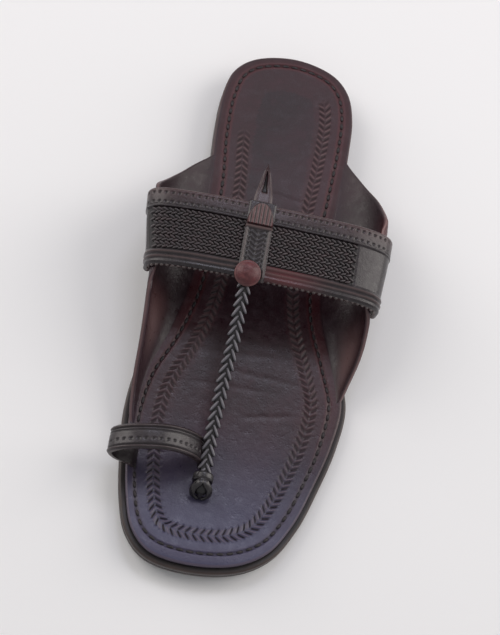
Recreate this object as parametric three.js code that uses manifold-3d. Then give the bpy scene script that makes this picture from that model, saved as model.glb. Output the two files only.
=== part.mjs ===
// Kolhapuri sandal, left shoe, men's size of about 285 mm, in leather.
// Frame: +Y to the toe, +X to the inner (big toe) side, +Z up, millimetres.
// The soles are lofts through one outline; the ears, the instep band and the strap over it are
// sheets of one wall function; the braid and the toe loop are straps along chosen curves.
import * as THREE from 'three';
import { mergeVertices } from 'three/addons/utils/BufferGeometryUtils.js';
import Module from 'manifold-3d';

const wasm = await Module();
wasm.setup();

// Clearance between pieces that meet, and the distance under which two corners are one
const seatGap = 0.3;
const mergeDistance = 1e-4;

// Sole: lengths and widths are those of the top sole
const topSoleLength = 282.4;
const ballWidth = 104;
const waistWidth = 68;
const heelWidth = 71.6;
const topSoleThickness = 3;
const outsoleThickness = 6.8;
const ledgeWidth = 2.9;
const heelLedgeWidth = 0.3;
const heelLiftHeight = 6.2;
const heelLiftLength = 70;
const heelTaper = 1.4;
const heelSteps = { count: 16, firstShare: 0.3 };
const toeSpring = 4.5;
const edgeChamfer = 0.7;
const plyGrooveDepth = 0.5;
const plyGrooveHeight = 0.4;

// Outline of the top sole, heel to toe; sides are shares of half the named width
const widths = { heel: heelWidth, waist: waistWidth, ball: ballWidth };
const heelTip = { along: 0, across: 0.02, of: 'heel' };
const toeTip = { along: 1, across: 0.26, of: 'ball' };
const outlineRows = [
  { along: 0.018, inner: 0.60, outer: 0.60, of: 'heel' },
  { along: 0.052, inner: 0.88, outer: 0.86, of: 'heel' },
  { along: 0.105, inner: 0.985, outer: 0.98, of: 'heel' },
  { along: 0.175, inner: 1.00, outer: 1.00, of: 'heel' },
  { along: 0.285, inner: 1.01, outer: 1.02, of: 'waist' },
  { along: 0.395, inner: 1.00, outer: 0.98, of: 'waist' },
  { along: 0.500, inner: 1.05, outer: 1.05, of: 'waist' },
  { along: 0.590, inner: 0.80, outer: 0.86, of: 'ball' },
  { along: 0.665, inner: 0.95, outer: 0.99, of: 'ball' },
  { along: 0.740, inner: 0.99, outer: 0.95, of: 'ball' },
  { along: 0.820, inner: 0.95, outer: 0.835, of: 'ball' },
  { along: 0.897, inner: 0.88, outer: 0.69, of: 'ball' },
  { along: 0.955, inner: 0.775, outer: 0.495, of: 'ball' },
  { along: 0.988, inner: 0.60, outer: 0.21, of: 'ball' },
];
const samplesPerRow = 3;

// Side view: the underside's shares of heel lift and toe spring, and of the forefoot's ledge
const sideRows = [
  { along: 0, lift: 1, spring: 0, ledge: 0 },
  { along: 0.26, lift: 1, spring: 0, ledge: 0 },
  { along: 0.40, lift: 0.62, spring: 0, ledge: 0.2 },
  { along: 0.48, lift: 0.22, spring: 0, ledge: 0.5 },
  { along: 0.55, lift: 0, spring: 0, ledge: 0.9 },
  { along: 0.80, lift: 0, spring: 0, ledge: 1 },
  { along: 0.90, lift: 0, spring: 0.32, ledge: 1 },
  { along: 1, lift: 0, spring: 1, ledge: 1 },
];

// Ears and instep band: the wall's inner face over the foot
const innerReach = 60;
const outerReach = 55.5;
const innerShoulderRise = 27;
const outerShoulderRise = 22.5;
const instepRise = 32.5;
const instepFullness = 2.6;
const crestAcross = 14;
const earThickness = 2.4;
const earRootInset = 4;
const earFlatShare = 0.42;
const earSteepShare = 0.36;
const earLeastRim = 0.04;
const earRootDepth = 0.35;
const sectionRows = [
  { along: 0.18, inner: 0.80, outer: 0.87 },
  { along: 0.29, inner: 0.92, outer: 0.97 },
  { along: 0.375, inner: 0.97, outer: 1.00 },
  { along: 0.52, inner: 0.885, outer: 0.965 },
  { along: 0.62, inner: 0.875, outer: 0.985 },
  { along: 0.71, inner: 0.88, outer: 0.98 },
  { along: 0.79, inner: 0.88, outer: 0.93 },
];

// Rim of each ear: share of the way from its root at the sole to the wall's shoulder
const innerEarRows = [
  { along: 0.225, rim: 0 },
  { along: 0.24, rim: 0.13 },
  { along: 0.266, rim: 0.33 },
  { along: 0.301, rim: 0.53 },
  { along: 0.336, rim: 0.75 },
  { along: 0.366, rim: 0.98 },
  { along: 0.40, rim: 1.16 },
  { along: 0.52, rim: 1.16 },
  { along: 0.547, rim: 1.03 },
  { along: 0.613, rim: 0.84 },
  { along: 0.677, rim: 0.60 },
  { along: 0.713, rim: 0.46 },
  { along: 0.755, rim: 0.29 },
  { along: 0.796, rim: 0 },
];
const outerEarRows = [
  { along: 0.178, rim: 0 },
  { along: 0.195, rim: 0.12 },
  { along: 0.23, rim: 0.38 },
  { along: 0.26, rim: 0.57 },
  { along: 0.287, rim: 0.74 },
  { along: 0.316, rim: 0.89 },
  { along: 0.344, rim: 1.03 },
  { along: 0.368, rim: 1.14 },
  { along: 0.40, rim: 1.16 },
  { along: 0.51, rim: 1.16 },
  { along: 0.537, rim: 1.02 },
  { along: 0.571, rim: 0.87 },
  { along: 0.596, rim: 0.73 },
  { along: 0.617, rim: 0.58 },
  { along: 0.652, rim: 0.28 },
  { along: 0.68, rim: 0 },
];
const earStepsAcross = 9;
const earStepAlong = 5.2;

// Instep band: its strips from the rear edge to the front edge
const bandCentreAlong = 0.451;
const bandSkew = 0.4;
const bandThickness = 2.4;
const rearStripWidth = 10;
const frontStripWidth = 7.7;
const stripRise = 0.8;
const plaitRows = 6;
const plaitPitch = 3.4;
const plaitRise = 0.6;
const plaitCrownShare = 0.4;
const stripEdgeRun = 0.5;
const bandEnd = 0.54;
const plaitEnd = { inner: 0.47, outer: 0.37 };
const bandSteps = 30;
const faceStep = 0.002;

// Strap over the band, with the folded tab at its rear
const strapWidth = 14.6;
const strapAcross = 7.5;
const strapBevelShare = 0.25;
const strapRise = 1.2;
const strapLip = 1.4;
const strapSeatShare = 0.3;
const strapStepsAcross = 4;
const tabLength = 12;
const tabRise = 1;
const tabEdgeRun = 0.6;
const lipRoundShare = 0.4;

// Braid from the strap to the toe post, and the knot it ends in: across is a share of half the
// ball width, rise a share of the instep rise
const braidWidth = 9;
const braidThickness = 3.6;
const braidPitch = 5.6;
const braidRise = 0.8;
const braidEdgeWave = 0.06;
const braidCrownDrop = 0.35;
const braidShares = [-1, -0.5, 0, 0.5, 1];
const braidStepsPerPitch = 4;
const braidPoints = [
  { along: 0.484, across: 0.165, rise: 1.142 },
  { along: 0.515, across: 0.177, rise: 1.135 },
  { along: 0.548, across: 0.181, rise: 1.077 },
  { along: 0.626, across: 0.181, rise: 0.797 },
  { along: 0.699, across: 0.198, rise: 0.542 },
  { along: 0.770, across: 0.210, rise: 0.320 },
  { along: 0.826, across: 0.208, rise: 0.178 },
  { along: 0.855, across: 0.212, rise: 0.142 },
];
const knotSize = { across: 10.6, along: 13, high: 8.6 };
const knotSteps = { around: 18, upwards: 12 };
const knotPlace = { along: 0.862, across: 0.212 };
const postWidth = 7;
const postThickness = 4;

// Toe loop for the big toe: across is a share of half the ball width, rise a share of its height
const loopHeight = 22.4;
const loopWidth = 12.4;
const loopThickness = 2.4;
const loopPoints = [
  { along: 0.803, across: 0.254, rise: -0.098 },
  { along: 0.803, across: 0.269, rise: 0.201 },
  { along: 0.804, across: 0.377, rise: 0.607 },
  { along: 0.808, across: 0.567, rise: 0.920 },
  { along: 0.815, across: 0.796, rise: 1.000 },
  { along: 0.822, across: 1.004, rise: 0.902 },
  { along: 0.825, across: 1.104, rise: 0.652 },
  { along: 0.826, across: 1.050, rise: 0.348 },
  { along: 0.827, across: 0.904, rise: 0.134 },
  { along: 0.827, across: 0.846, rise: -0.098 },
];
const loopSteps = 22;

// Button on the strap's front end, and the pointed tail behind the band
const buttonDiameter = 13;
const buttonHeight = 3.2;
const buttonPlace = { along: 0.516, across: 0.177 };
const buttonPitch = 0.24;
const buttonSteps = { around: 28, dome: 5 };
const buttonRim = { footShare: 0.92, roundShare: 0.2, domeShare: 0.36 };
const tailWidth = 9.6;
const tailThickness = 2;
const tailGap = 0.4;
const tailLap = 9;
const tailReach = 26;
const tailDrop = 5;
const tailStepsAcross = 2;
const tailRows = [
  { reach: 0, width: 1 },
  { reach: 0.2, width: 0.94 },
  { reach: 0.5, width: 0.66 },
  { reach: 0.8, width: 0.34 },
  { reach: 1, width: 0.08 },
];
const tailSlit = { startShare: 0.84, length: 12, width: 1.5, narrowShare: 0.3 };

// Derived places
const stackThickness = outsoleThickness + seatGap + topSoleThickness;
const ballHalf = ballWidth / 2;
const plaitWidth = plaitRows * plaitPitch;
const bandWidth = rearStripWidth + plaitWidth + frontStripWidth;
const bandInnerOffset = earThickness + seatGap;
const placeAlong = (along) => topSoleLength * (along - 0.5);
const shareAlong = (y) => y / topSoleLength + 0.5;

// Value of one column of a table at a place along the sole, smooth and without overshoot
function tableValue(rows, column, along) {
  const last = rows.length - 1;
  if (along <= rows[0].along) {
    return rows[0][column];
  }
  if (along >= rows[last].along) {
    return rows[last][column];
  }
  const slope = (k) => {
    if (k <= 0 || k >= last) {
      return 0;
    }
    const before = (rows[k][column] - rows[k - 1][column]) / (rows[k].along - rows[k - 1].along);
    const after = (rows[k + 1][column] - rows[k][column]) / (rows[k + 1].along - rows[k].along);
    return before * after <= 0 ? 0 : (2 * before * after) / (before + after);
  };
  const index = rows.findIndex((row, k) => k < last && along < rows[k + 1].along);
  const span = rows[index + 1].along - rows[index].along;
  const t = (along - rows[index].along) / span;
  const a = rows[index][column];
  const b = rows[index + 1][column];
  const ease = t * t * (3 - 2 * t);
  const startPull = t * (1 - t) * (1 - t) * span * slope(index);
  const endPull = t * t * (t - 1) * span * slope(index + 1);
  return a + (b - a) * ease + startPull + endPull;
}

// Places along a table, each gap between two rows split into equal steps of a length or less
function tableSteps(rows, longest) {
  const places = [];
  for (let k = 0; k < rows.length - 1; k += 1) {
    const span = rows[k + 1].along - rows[k].along;
    const steps = Math.ceil((span * topSoleLength) / longest);
    for (let j = 0; j < steps; j += 1) {
      places.push(rows[k].along + (span * j) / steps);
    }
  }
  places.push(rows[rows.length - 1].along);
  return places;
}

// Heights of the soles at a distance y along the shoe
function undersideHeight(y) {
  const along = shareAlong(y);
  const lift = (heelLiftHeight + seatGap) * tableValue(sideRows, 'lift', along);
  return lift + toeSpring * tableValue(sideRows, 'spring', along);
}
const topHeight = (y) => undersideHeight(y) + stackThickness;

// Outline of the top sole as a ring: inner side from toe to heel, then outer side back to the toe
function topSoleRing() {
  const corner = (along, across, of) =>
    new THREE.Vector3((across * widths[of]) / 2, placeAlong(along), 0);
  const inner = outlineRows.map((row) => corner(row.along, row.inner, row.of)).reverse();
  const outer = outlineRows.map((row) => corner(row.along, -row.outer, row.of));
  const toe = corner(toeTip.along, toeTip.across, toeTip.of);
  const heel = corner(heelTip.along, -heelTip.across, heelTip.of);
  const curve = new THREE.CatmullRomCurve3([toe, ...inner, heel, ...outer], true, 'centripetal');
  const count = 2 * (outlineRows.length + 1) * samplesPerRow;
  const ring = [];
  for (let k = 0; k < count; k += 1) {
    ring.push(curve.getPoint((k + 0.5) / count));
  }
  return ring;
}

// Ring moved outwards by a distance that may change along the shoe
function offsetRing(ring, distance) {
  return ring.map((point, k) => {
    const before = ring[(k + ring.length - 1) % ring.length];
    const after = ring[(k + 1) % ring.length];
    const run = new THREE.Vector3().subVectors(after, before).normalize();
    const out = new THREE.Vector3(-run.y, run.x, 0);
    return point.clone().addScaledVector(out, distance(point.y));
  });
}

// Ring with heights from a function of y
function liftRing(ring, height) {
  return ring.map((point) => new THREE.Vector3(point.x, point.y, height(point.y)));
}

// Where a ring's edge lies at y, on the inner (+1) or the outer (-1) side
function edgeAcross(ring, y, side) {
  const half = ring.filter((p) => Math.sign(p.x) === side).sort((p, q) => p.y - q.y);
  const found = half.findIndex((p) => p.y >= y);
  const index = Math.max(1, found < 0 ? half.length - 1 : found);
  const low = half[index - 1];
  const high = half[index];
  return low.x + ((high.x - low.x) * (y - low.y)) / (high.y - low.y);
}

// Closed solid from a geometry that holds only positions, turned outside out if need be
function solidFrom(geometry) {
  const merged = mergeVertices(geometry, mergeDistance);
  const vertProperties = new Float32Array(merged.attributes.position.array);
  const build = (triVerts) =>
    new wasm.Manifold(new wasm.Mesh({ numProp: 3, vertProperties, triVerts }));
  const order = new Uint32Array(merged.index.array);
  const solid = build(order);
  return solid.volume() > 0 ? solid : build(order.reverse());
}

// Closed solid from numbered points and triangles
function solidOf(points, triangles) {
  const geometry = new THREE.BufferGeometry();
  const numbers = points.flatMap((p) => [p.x, p.y, p.z]);
  geometry.setAttribute('position', new THREE.Float32BufferAttribute(numbers, 3));
  geometry.setIndex(triangles.flat());
  return solidFrom(geometry);
}

// Solid through a stack of rings of equal count; a cap joins point k to point count-1-k
function ringLoft(rings) {
  const count = rings[0].length;
  const top = (rings.length - 1) * count;
  const triangles = [];
  for (let start = 0; start < top; start += count) {
    for (let k = 0; k < count; k += 1) {
      const a = start + k;
      const b = start + ((k + 1) % count);
      triangles.push([a, b, b + count], [a, b + count, a + count]);
    }
  }
  for (let k = 0; k < count / 2 - 1; k += 1) {
    const mate = count - 1 - k;
    triangles.push([k, mate, k + 1], [k + 1, mate, mate - 1]);
    triangles.push([top + k, top + k + 1, top + mate]);
    triangles.push([top + k + 1, top + mate - 1, top + mate]);
  }
  return solidOf(rings.flat(), triangles);
}

// Sheet between two grids of points with equal rows and columns
function sheetSolid(lowGrid, highGrid) {
  return ringLoft(lowGrid.map((row, k) => [...row, ...[...highGrid[k]].reverse()]));
}

// Strap along stations { centre, across, up }: a flat bar with bevelled edges
function strapSolid(stations, width, thickness) {
  const bevel = thickness * strapBevelShare;
  const w = width / 2;
  const t = thickness / 2;
  const profile = [
    [-w, t - bevel], [bevel - w, t], [w - bevel, t], [w, t - bevel],
    [w, bevel - t], [w - bevel, -t], [bevel - w, -t], [-w, bevel - t],
  ];
  return ringLoft(stations.map((s) => profile.map(([u, v]) =>
    s.centre.clone().addScaledVector(s.across, u).addScaledVector(s.up, v))));
}

// Points of a table of places as a smooth curve standing on the top sole
function curveOf(points, height) {
  return new THREE.CatmullRomCurve3(points.map((p) => {
    const y = placeAlong(p.along);
    return new THREE.Vector3(p.across * ballHalf, y, topHeight(y) + p.rise * height);
  }), false, 'centripetal');
}

const topRing = topSoleRing();
const ledge = (y) => {
  const share = tableValue(sideRows, 'ledge', shareAlong(y));
  return heelLedgeWidth + (ledgeWidth - heelLedgeWidth) * share;
};
const soleRing = offsetRing(topRing, ledge);

// Inner face of the wall over the foot: turn is 0 on the crest, 0.5 at a shoulder and 1 at a root,
// above zero on the inner side and below it on the outer side
function wallPoint(y, turn) {
  const side = turn < 0 ? -1 : 1;
  const share = Math.abs(turn);
  const base = topHeight(y) - earRootDepth;
  const reach = reachAt(y, side);
  const rise = side > 0 ? innerShoulderRise : outerShoulderRise;
  if (share <= 0.5) {
    const angle = share * Math.PI;
    const power = 2 / instepFullness;
    const across = crestAcross + (reach - crestAcross) * Math.sin(angle) ** power;
    const height = base + rise + (instepRise - rise) * Math.max(0, Math.cos(angle)) ** power;
    return new THREE.Vector3(across, y, height);
  }
  const root = edgeAcross(topRing, y, side) - side * earRootInset;
  const curve = new THREE.CubicBezierCurve(
    new THREE.Vector2(root, base),
    new THREE.Vector2(root + (reach - root) * earFlatShare, base),
    new THREE.Vector2(reach, base + rise * earSteepShare),
    new THREE.Vector2(reach, base + rise),
  );
  const flat = curve.getPoint(2 - 2 * share);
  return new THREE.Vector3(flat.x, y, flat.y);
}

// How far across the wall's shoulder lies on one side
function reachAt(y, side) {
  const along = shareAlong(y);
  return side > 0
    ? innerReach * tableValue(sectionRows, 'inner', along)
    : -outerReach * tableValue(sectionRows, 'outer', along);
}

// Point of the wall moved outwards, away from the foot
function wallOffset(y, turn, distance) {
  const run = wallPoint(y, turn + faceStep).sub(wallPoint(y, turn - faceStep)).normalize();
  return wallPoint(y, turn).add(new THREE.Vector3(-run.z, 0, run.x).multiplyScalar(distance));
}

// Turn at which the wall over the foot lies a given distance across
function turnAt(across, y) {
  const side = across < crestAcross ? -1 : 1;
  const share = (across - crestAcross) / (reachAt(y, side) - crestAcross);
  return (side * Math.asin(share ** (instepFullness / 2))) / Math.PI;
}

// Outsole: two plies with a groove between them, and a ledge around the forefoot
function outsole() {
  const ply = outsoleThickness / 2;
  const levels = [
    { rise: 0, inset: edgeChamfer },
    { rise: edgeChamfer, inset: 0 },
    { rise: ply - plyGrooveHeight, inset: 0 },
    { rise: ply, inset: plyGrooveDepth },
    { rise: ply + plyGrooveHeight, inset: 0 },
    { rise: outsoleThickness - edgeChamfer, inset: 0 },
    { rise: outsoleThickness, inset: edgeChamfer },
  ];
  return ringLoft(levels.map((level) =>
    liftRing(offsetRing(soleRing, () => -level.inset), (y) => undersideHeight(y) + level.rise)));
}

// Heel lift: the back of the outsole's outline with a straight breast, narrower at the floor
function heelLift() {
  const breast = placeAlong(0) + heelLiftLength;
  const back = Math.min(...soleRing.map((p) => p.y));
  const places = Array.from({ length: heelSteps.count }, (unused, k) =>
    breast + (back - breast) * Math.sin(((k + heelSteps.firstShare) / heelSteps.count) * (Math.PI / 2)));
  const side = (sign) => places.map((y) => new THREE.Vector3(edgeAcross(soleRing, y, sign), y, 0));
  const outline = [...side(1), ...side(-1).reverse()];
  const levels = [
    { height: 0, inset: heelTaper + edgeChamfer },
    { height: edgeChamfer, inset: heelTaper },
    { height: heelLiftHeight / 2 - plyGrooveHeight, inset: heelTaper / 2 },
    { height: heelLiftHeight / 2, inset: heelTaper / 2 + plyGrooveDepth },
    { height: heelLiftHeight / 2 + plyGrooveHeight, inset: heelTaper / 2 },
    { height: heelLiftHeight, inset: 0 },
  ];
  return ringLoft(levels.map((level) =>
    liftRing(offsetRing(outline, () => -level.inset), () => level.height)));
}

// Ear on one side: a sheet from its root in the top sole up to its rim
function ear(rows, side) {
  const low = [];
  const high = [];
  for (const along of tableSteps(rows, earStepAlong)) {
    const y = placeAlong(along);
    const rim = 0.5 * Math.max(tableValue(rows, 'rim', along), earLeastRim);
    const turns = Array.from({ length: earStepsAcross + 1 }, (unused, k) =>
      side * (1 - (rim * k) / earStepsAcross));
    low.push(turns.map((turn) => wallPoint(y, turn)));
    high.push(turns.map((turn) => wallOffset(y, turn, earThickness)));
  }
  return sheetSolid(low, high);
}

// Top sole with both ears cut from the same leather, and the slots that the straps go into
function topSole(slotCutters) {
  const levels = [
    { rise: 0, inset: 0 },
    { rise: topSoleThickness - edgeChamfer, inset: 0 },
    { rise: topSoleThickness, inset: edgeChamfer },
  ];
  const under = (y) => undersideHeight(y) + outsoleThickness + seatGap;
  const slab = ringLoft(levels.map((level) =>
    liftRing(offsetRing(topRing, () => -level.inset), (y) => under(y) + level.rise)));
  const cut = slotCutters.reduce((solid, cutter) => solid.subtract(cutter), slab);
  return cut.add(ear(innerEarRows, 1)).add(ear(outerEarRows, -1));
}

// Distances across the band's strips from its rear edge, each with its step in the wall
function bandProfile() {
  const crown = plaitPitch * plaitCrownShare;
  const profile = [
    { at: 0, strip: 1, row: 0 },
    { at: rearStripWidth - stripEdgeRun, strip: 1, row: 0 },
    { at: rearStripWidth, strip: 0, row: 0 },
  ];
  for (let k = 0; k < plaitRows; k += 1) {
    const middle = rearStripWidth + (k + 0.5) * plaitPitch;
    profile.push({ at: middle - crown / 2, strip: 0, row: 1 });
    profile.push({ at: middle + crown / 2, strip: 0, row: 1 });
    profile.push({ at: middle + plaitPitch / 2, strip: 0, row: 0 });
  }
  profile.push({ at: bandWidth - frontStripWidth + stripEdgeRun, strip: 1, row: 0 });
  profile.push({ at: bandWidth, strip: 1, row: 0 });
  return profile;
}

// Distance along the shoe of a point on the band
function bandPlace(at, turn) {
  const skew = bandSkew * Math.sin(turn * Math.PI);
  return placeAlong(bandCentreAlong) - bandWidth / 2 + at + skew;
}

// Instep band: one wall with its edge strips and plaited rows raised
function instepBand() {
  const low = [];
  const high = [];
  for (let k = 0; k <= bandSteps; k += 1) {
    const turn = bandEnd * ((2 * k) / bandSteps - 1);
    const plaited = turn < plaitEnd.inner && turn > -plaitEnd.outer;
    const rowRise = (row) => (plaited ? row : 0.5) * plaitRise;
    const points = (offset) => bandProfile().map((step) => {
      const y = bandPlace(step.at, turn);
      return wallOffset(y, turn, offset(step));
    });
    low.push(points(() => bandInnerOffset));
    high.push(points((step) => bandInnerOffset + bandThickness
      + (step.strip > 0 ? stripRise : rowRise(step.row))));
  }
  return sheetSolid(low, high);
}

// Strap over the band, with its folded tab at the rear and a lip over both edges
function strapOverBand() {
  const ends = [
    { at: -strapLip, rise: strapRise * lipRoundShare },
    { at: -strapLip * lipRoundShare, rise: strapRise },
    { at: tabEdgeRun, rise: strapRise + tabRise },
    { at: tabLength - tabEdgeRun, rise: strapRise + tabRise },
    { at: tabLength, rise: strapRise },
    { at: bandWidth / 2, rise: strapRise },
    { at: bandWidth, rise: strapRise },
    { at: bandWidth + strapLip, rise: 0 },
  ];
  const columns = Array.from({ length: strapStepsAcross + 1 }, (unused, k) =>
    strapAcross + strapWidth * (k / strapStepsAcross - 0.5));
  const grid = (offset) => ends.map((end) => columns.map((across) => {
    const y = bandPlace(end.at, 0);
    return wallOffset(y, turnAt(across, y), offset(end));
  }));
  const wall = bandInnerOffset + bandThickness;
  const low = grid(() => bandInnerOffset + bandThickness * strapSeatShare);
  return sheetSolid(low, grid((end) => wall + stripRise + end.rise));
}

// Braid: one flat wall whose crossing strips stand up as chevrons
function braid() {
  const curve = curveOf(braidPoints, instepRise);
  const steps = Math.round((curve.getLength() * braidStepsPerPitch) / braidPitch);
  const rings = [];
  for (let k = 0; k <= steps; k += 1) {
    const share = k / steps;
    const centre = curve.getPointAt(share);
    const tangent = curve.getTangentAt(share);
    const across = new THREE.Vector3(0, 0, 1).cross(tangent).normalize().negate();
    const up = across.clone().cross(tangent).normalize();
    const wave = (u) => {
      const phase = (share * curve.getLength()) / braidPitch - Math.abs(u) * 0.5;
      return 0.5 + 0.5 * Math.cos(2 * Math.PI * phase);
    };
    const half = (braidWidth / 2) * (1 - braidEdgeWave + braidEdgeWave * wave(1));
    const crown = (u) => (braidThickness / 2) * (1 - braidCrownDrop * u * u);
    const upper = braidShares.map((u) => centre.clone().addScaledVector(across, u * half)
      .addScaledVector(up, crown(u) + braidRise * (wave(u) - 0.5)));
    const lower = braidShares.map((u) => centre.clone().addScaledVector(across, u * half)
      .addScaledVector(up, -crown(u)));
    rings.push([...upper, ...lower.reverse()]);
  }
  return ringLoft(rings);
}

// Knot that the braid ends in, resting on the top sole
function knot() {
  const ball = new THREE.SphereGeometry(0.5, knotSteps.around, knotSteps.upwards);
  ball.rotateX(Math.PI / 2);
  ball.scale(knotSize.across, knotSize.along, knotSize.high);
  const y = placeAlong(knotPlace.along);
  ball.translate(knotPlace.across * ballHalf, y, topHeight(y) + seatGap + knotSize.high / 2);
  ball.deleteAttribute('normal');
  ball.deleteAttribute('uv');
  return solidFrom(ball);
}

// Toe post: the strap's end going down from the knot into the top sole
function toePost(clearance, depth) {
  const y = placeAlong(knotPlace.along);
  const across = knotPlace.across * ballHalf;
  const centre = (rise) => new THREE.Vector3(across, y, topHeight(y) + rise);
  const stations = [knotSize.high / 2, -depth].map((rise) => ({
    centre: centre(rise),
    across: new THREE.Vector3(1, 0, 0),
    up: new THREE.Vector3(0, 1, 0),
  }));
  return strapSolid(stations, postWidth + 2 * clearance, postThickness + 2 * clearance);
}

// Toe loop between its two slots, widened by a clearance where it serves as a cutter
function toeLoop(clearance) {
  const curve = curveOf(loopPoints, loopHeight);
  const stations = [];
  for (let k = 0; k <= loopSteps; k += 1) {
    const tangent = curve.getTangentAt(k / loopSteps).setY(0).normalize();
    stations.push({
      centre: curve.getPointAt(k / loopSteps),
      across: new THREE.Vector3(0, 1, 0),
      up: new THREE.Vector3(-tangent.z, 0, tangent.x),
    });
  }
  const run = 2 * topSoleThickness;
  if (clearance > 0) {
    const first = stations[0];
    const last = stations[loopSteps];
    const before = first.centre.clone().addScaledVector(curve.getTangentAt(0), -run);
    const after = last.centre.clone().addScaledVector(curve.getTangentAt(1), run);
    stations.unshift({ ...first, centre: before });
    stations.push({ ...last, centre: after });
  }
  return strapSolid(stations, loopWidth + 2 * clearance, loopThickness + 2 * clearance);
}

// Upper: band, strap, braid, knot and toe loop joined where they cross
function upper() {
  return instepBand()
    .add(strapOverBand())
    .add(braid())
    .add(knot())
    .add(toePost(0, topSoleThickness))
    .add(toeLoop(0));
}

// Domed leather button, standing on the plane z = 0 before it is placed
function buttonGeometry() {
  const radius = buttonDiameter / 2;
  const profile = [
    new THREE.Vector2(0, 0),
    new THREE.Vector2(radius * buttonRim.footShare, 0),
    new THREE.Vector2(radius, buttonHeight * buttonRim.roundShare),
    new THREE.Vector2(radius, buttonHeight * buttonRim.domeShare),
  ];
  for (let k = 1; k <= buttonSteps.dome; k += 1) {
    const angle = (k / buttonSteps.dome) * (Math.PI / 2);
    const rise = buttonRim.domeShare + (1 - buttonRim.domeShare) * Math.sin(angle);
    const across = k === buttonSteps.dome ? 0 : radius * Math.cos(angle);
    profile.push(new THREE.Vector2(across, buttonHeight * rise));
  }
  const geometry = new THREE.LatheGeometry(profile, buttonSteps.around);
  geometry.rotateX(Math.PI / 2);
  return geometry;
}

// Pointed tail: the strap's end, from its lap under the band to its tip behind it
function tail() {
  const rearEdge = bandPlace(0, 0);
  const rows = [{ reach: -tailLap / tailReach, width: 1 }, ...tailRows];
  const columns = Array.from({ length: tailStepsAcross + 1 }, (unused, k) =>
    k / tailStepsAcross - 0.5);
  const grid = (offset) => rows.map((row) => columns.map((column) => {
    const y = rearEdge - tailReach * row.reach;
    const point = wallOffset(y, turnAt(strapAcross, y), offset);
    const drop = tailDrop * Math.max(0, row.reach) ** 2;
    return new THREE.Vector3(strapAcross + tailWidth * row.width * column, y, point.z - drop);
  }));
  const top = bandInnerOffset - tailGap;
  const leather = sheetSolid(grid(top - tailThickness), grid(top));
  const cutTop = 2 * instepRise;
  const slitStart = rearEdge - tailReach * tailSlit.startShare;
  const slit = [tailSlit.narrowShare, 1].map((share, end) => {
    const half = (tailSlit.width / 2) * share;
    const corner = (x, z) => new THREE.Vector3(strapAcross + x, slitStart + tailSlit.length * end, z);
    return [corner(-half, 0), corner(-half, cutTop), corner(half, cutTop), corner(half, 0)];
  });
  return leather.subtract(ringLoft(slit));
}

// Geometry of a solid for display
function geometryOf(solid) {
  const mesh = solid.getMesh();
  const geometry = new THREE.BufferGeometry();
  geometry.setAttribute('position', new THREE.BufferAttribute(mesh.vertProperties, 3));
  geometry.setIndex(new THREE.BufferAttribute(mesh.triVerts, 1));
  geometry.computeVertexNormals();
  return geometry;
}

const finishes = {
  edge: { color: 0x2c2221, roughness: 0.5, metalness: 0 },
  top: { color: 0x3f3338, roughness: 0.45, metalness: 0 },
  strap: { color: 0x352c30, roughness: 0.45, metalness: 0 },
  button: { color: 0x5e2a2c, roughness: 0.4, metalness: 0 },
};

function piece(name, geometry, finish) {
  const mesh = new THREE.Mesh(geometry, new THREE.MeshStandardMaterial(finishes[finish]));
  mesh.name = name;
  return mesh;
}

const slotCutters = [toeLoop(seatGap), toePost(seatGap, topSoleThickness * 2)];
const button = piece('button', buttonGeometry(), 'button');
const buttonY = placeAlong(buttonPlace.along);
const buttonSeat = wallOffset(buttonY, turnAt(buttonPlace.across * ballHalf, buttonY),
  bandInnerOffset + bandThickness + stripRise + strapRise + seatGap);
button.position.copy(buttonSeat);
button.rotation.x = -buttonPitch;

const sandal = new THREE.Group();
sandal.add(
  piece('outsole', geometryOf(outsole()), 'edge'),
  piece('heel_lift', geometryOf(heelLift()), 'edge'),
  piece('top_sole_with_ears', geometryOf(topSole(slotCutters)), 'top'),
  piece('upper', geometryOf(upper()), 'strap'),
  piece('strap_tail', geometryOf(tail()), 'strap'),
  button,
);

// The origin is under the middle of the whole shoe, on the floor
const bounds = new THREE.Box3().setFromObject(sandal);
const centre = bounds.getCenter(new THREE.Vector3());
sandal.position.set(-centre.x, -centre.y, -bounds.min.z);

export default sandal;
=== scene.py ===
"""A left kolhapuri sandal in dark brown leather, dressed over its solid model.

Sizes inside the classes are millimetres on the sandal's own centre line: +Y from heel to toe, +X to the
inner (big toe) side, +Z up. Each mesh is moved and scaled to the shared frame, in metres, when finished.
"""

from __future__ import annotations

import bisect
import logging
import math
import random
from dataclasses import dataclass, field
from enum import Enum
from typing import Callable, Sequence

import bmesh
import bpy
from mathutils import Matrix, Vector

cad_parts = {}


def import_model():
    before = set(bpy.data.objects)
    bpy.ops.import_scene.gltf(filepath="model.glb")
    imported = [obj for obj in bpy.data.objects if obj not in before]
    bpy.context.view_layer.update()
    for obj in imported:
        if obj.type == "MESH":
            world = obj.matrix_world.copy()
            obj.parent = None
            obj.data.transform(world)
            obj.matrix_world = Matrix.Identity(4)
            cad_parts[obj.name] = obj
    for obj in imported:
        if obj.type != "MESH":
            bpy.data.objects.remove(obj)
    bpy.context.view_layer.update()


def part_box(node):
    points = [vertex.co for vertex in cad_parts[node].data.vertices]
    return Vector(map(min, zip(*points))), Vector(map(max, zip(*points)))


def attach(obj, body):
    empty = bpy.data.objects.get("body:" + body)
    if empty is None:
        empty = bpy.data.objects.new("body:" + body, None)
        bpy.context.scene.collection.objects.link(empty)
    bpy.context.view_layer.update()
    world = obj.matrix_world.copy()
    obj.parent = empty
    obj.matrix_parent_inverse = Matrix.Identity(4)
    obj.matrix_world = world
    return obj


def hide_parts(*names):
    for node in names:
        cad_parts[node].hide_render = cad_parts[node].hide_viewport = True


LOG = logging.getLogger("kolhapuri")
METRES = 0.001
WEAR_AND_PAINTED_LIGHT = "wear_and_painted_light"

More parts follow.
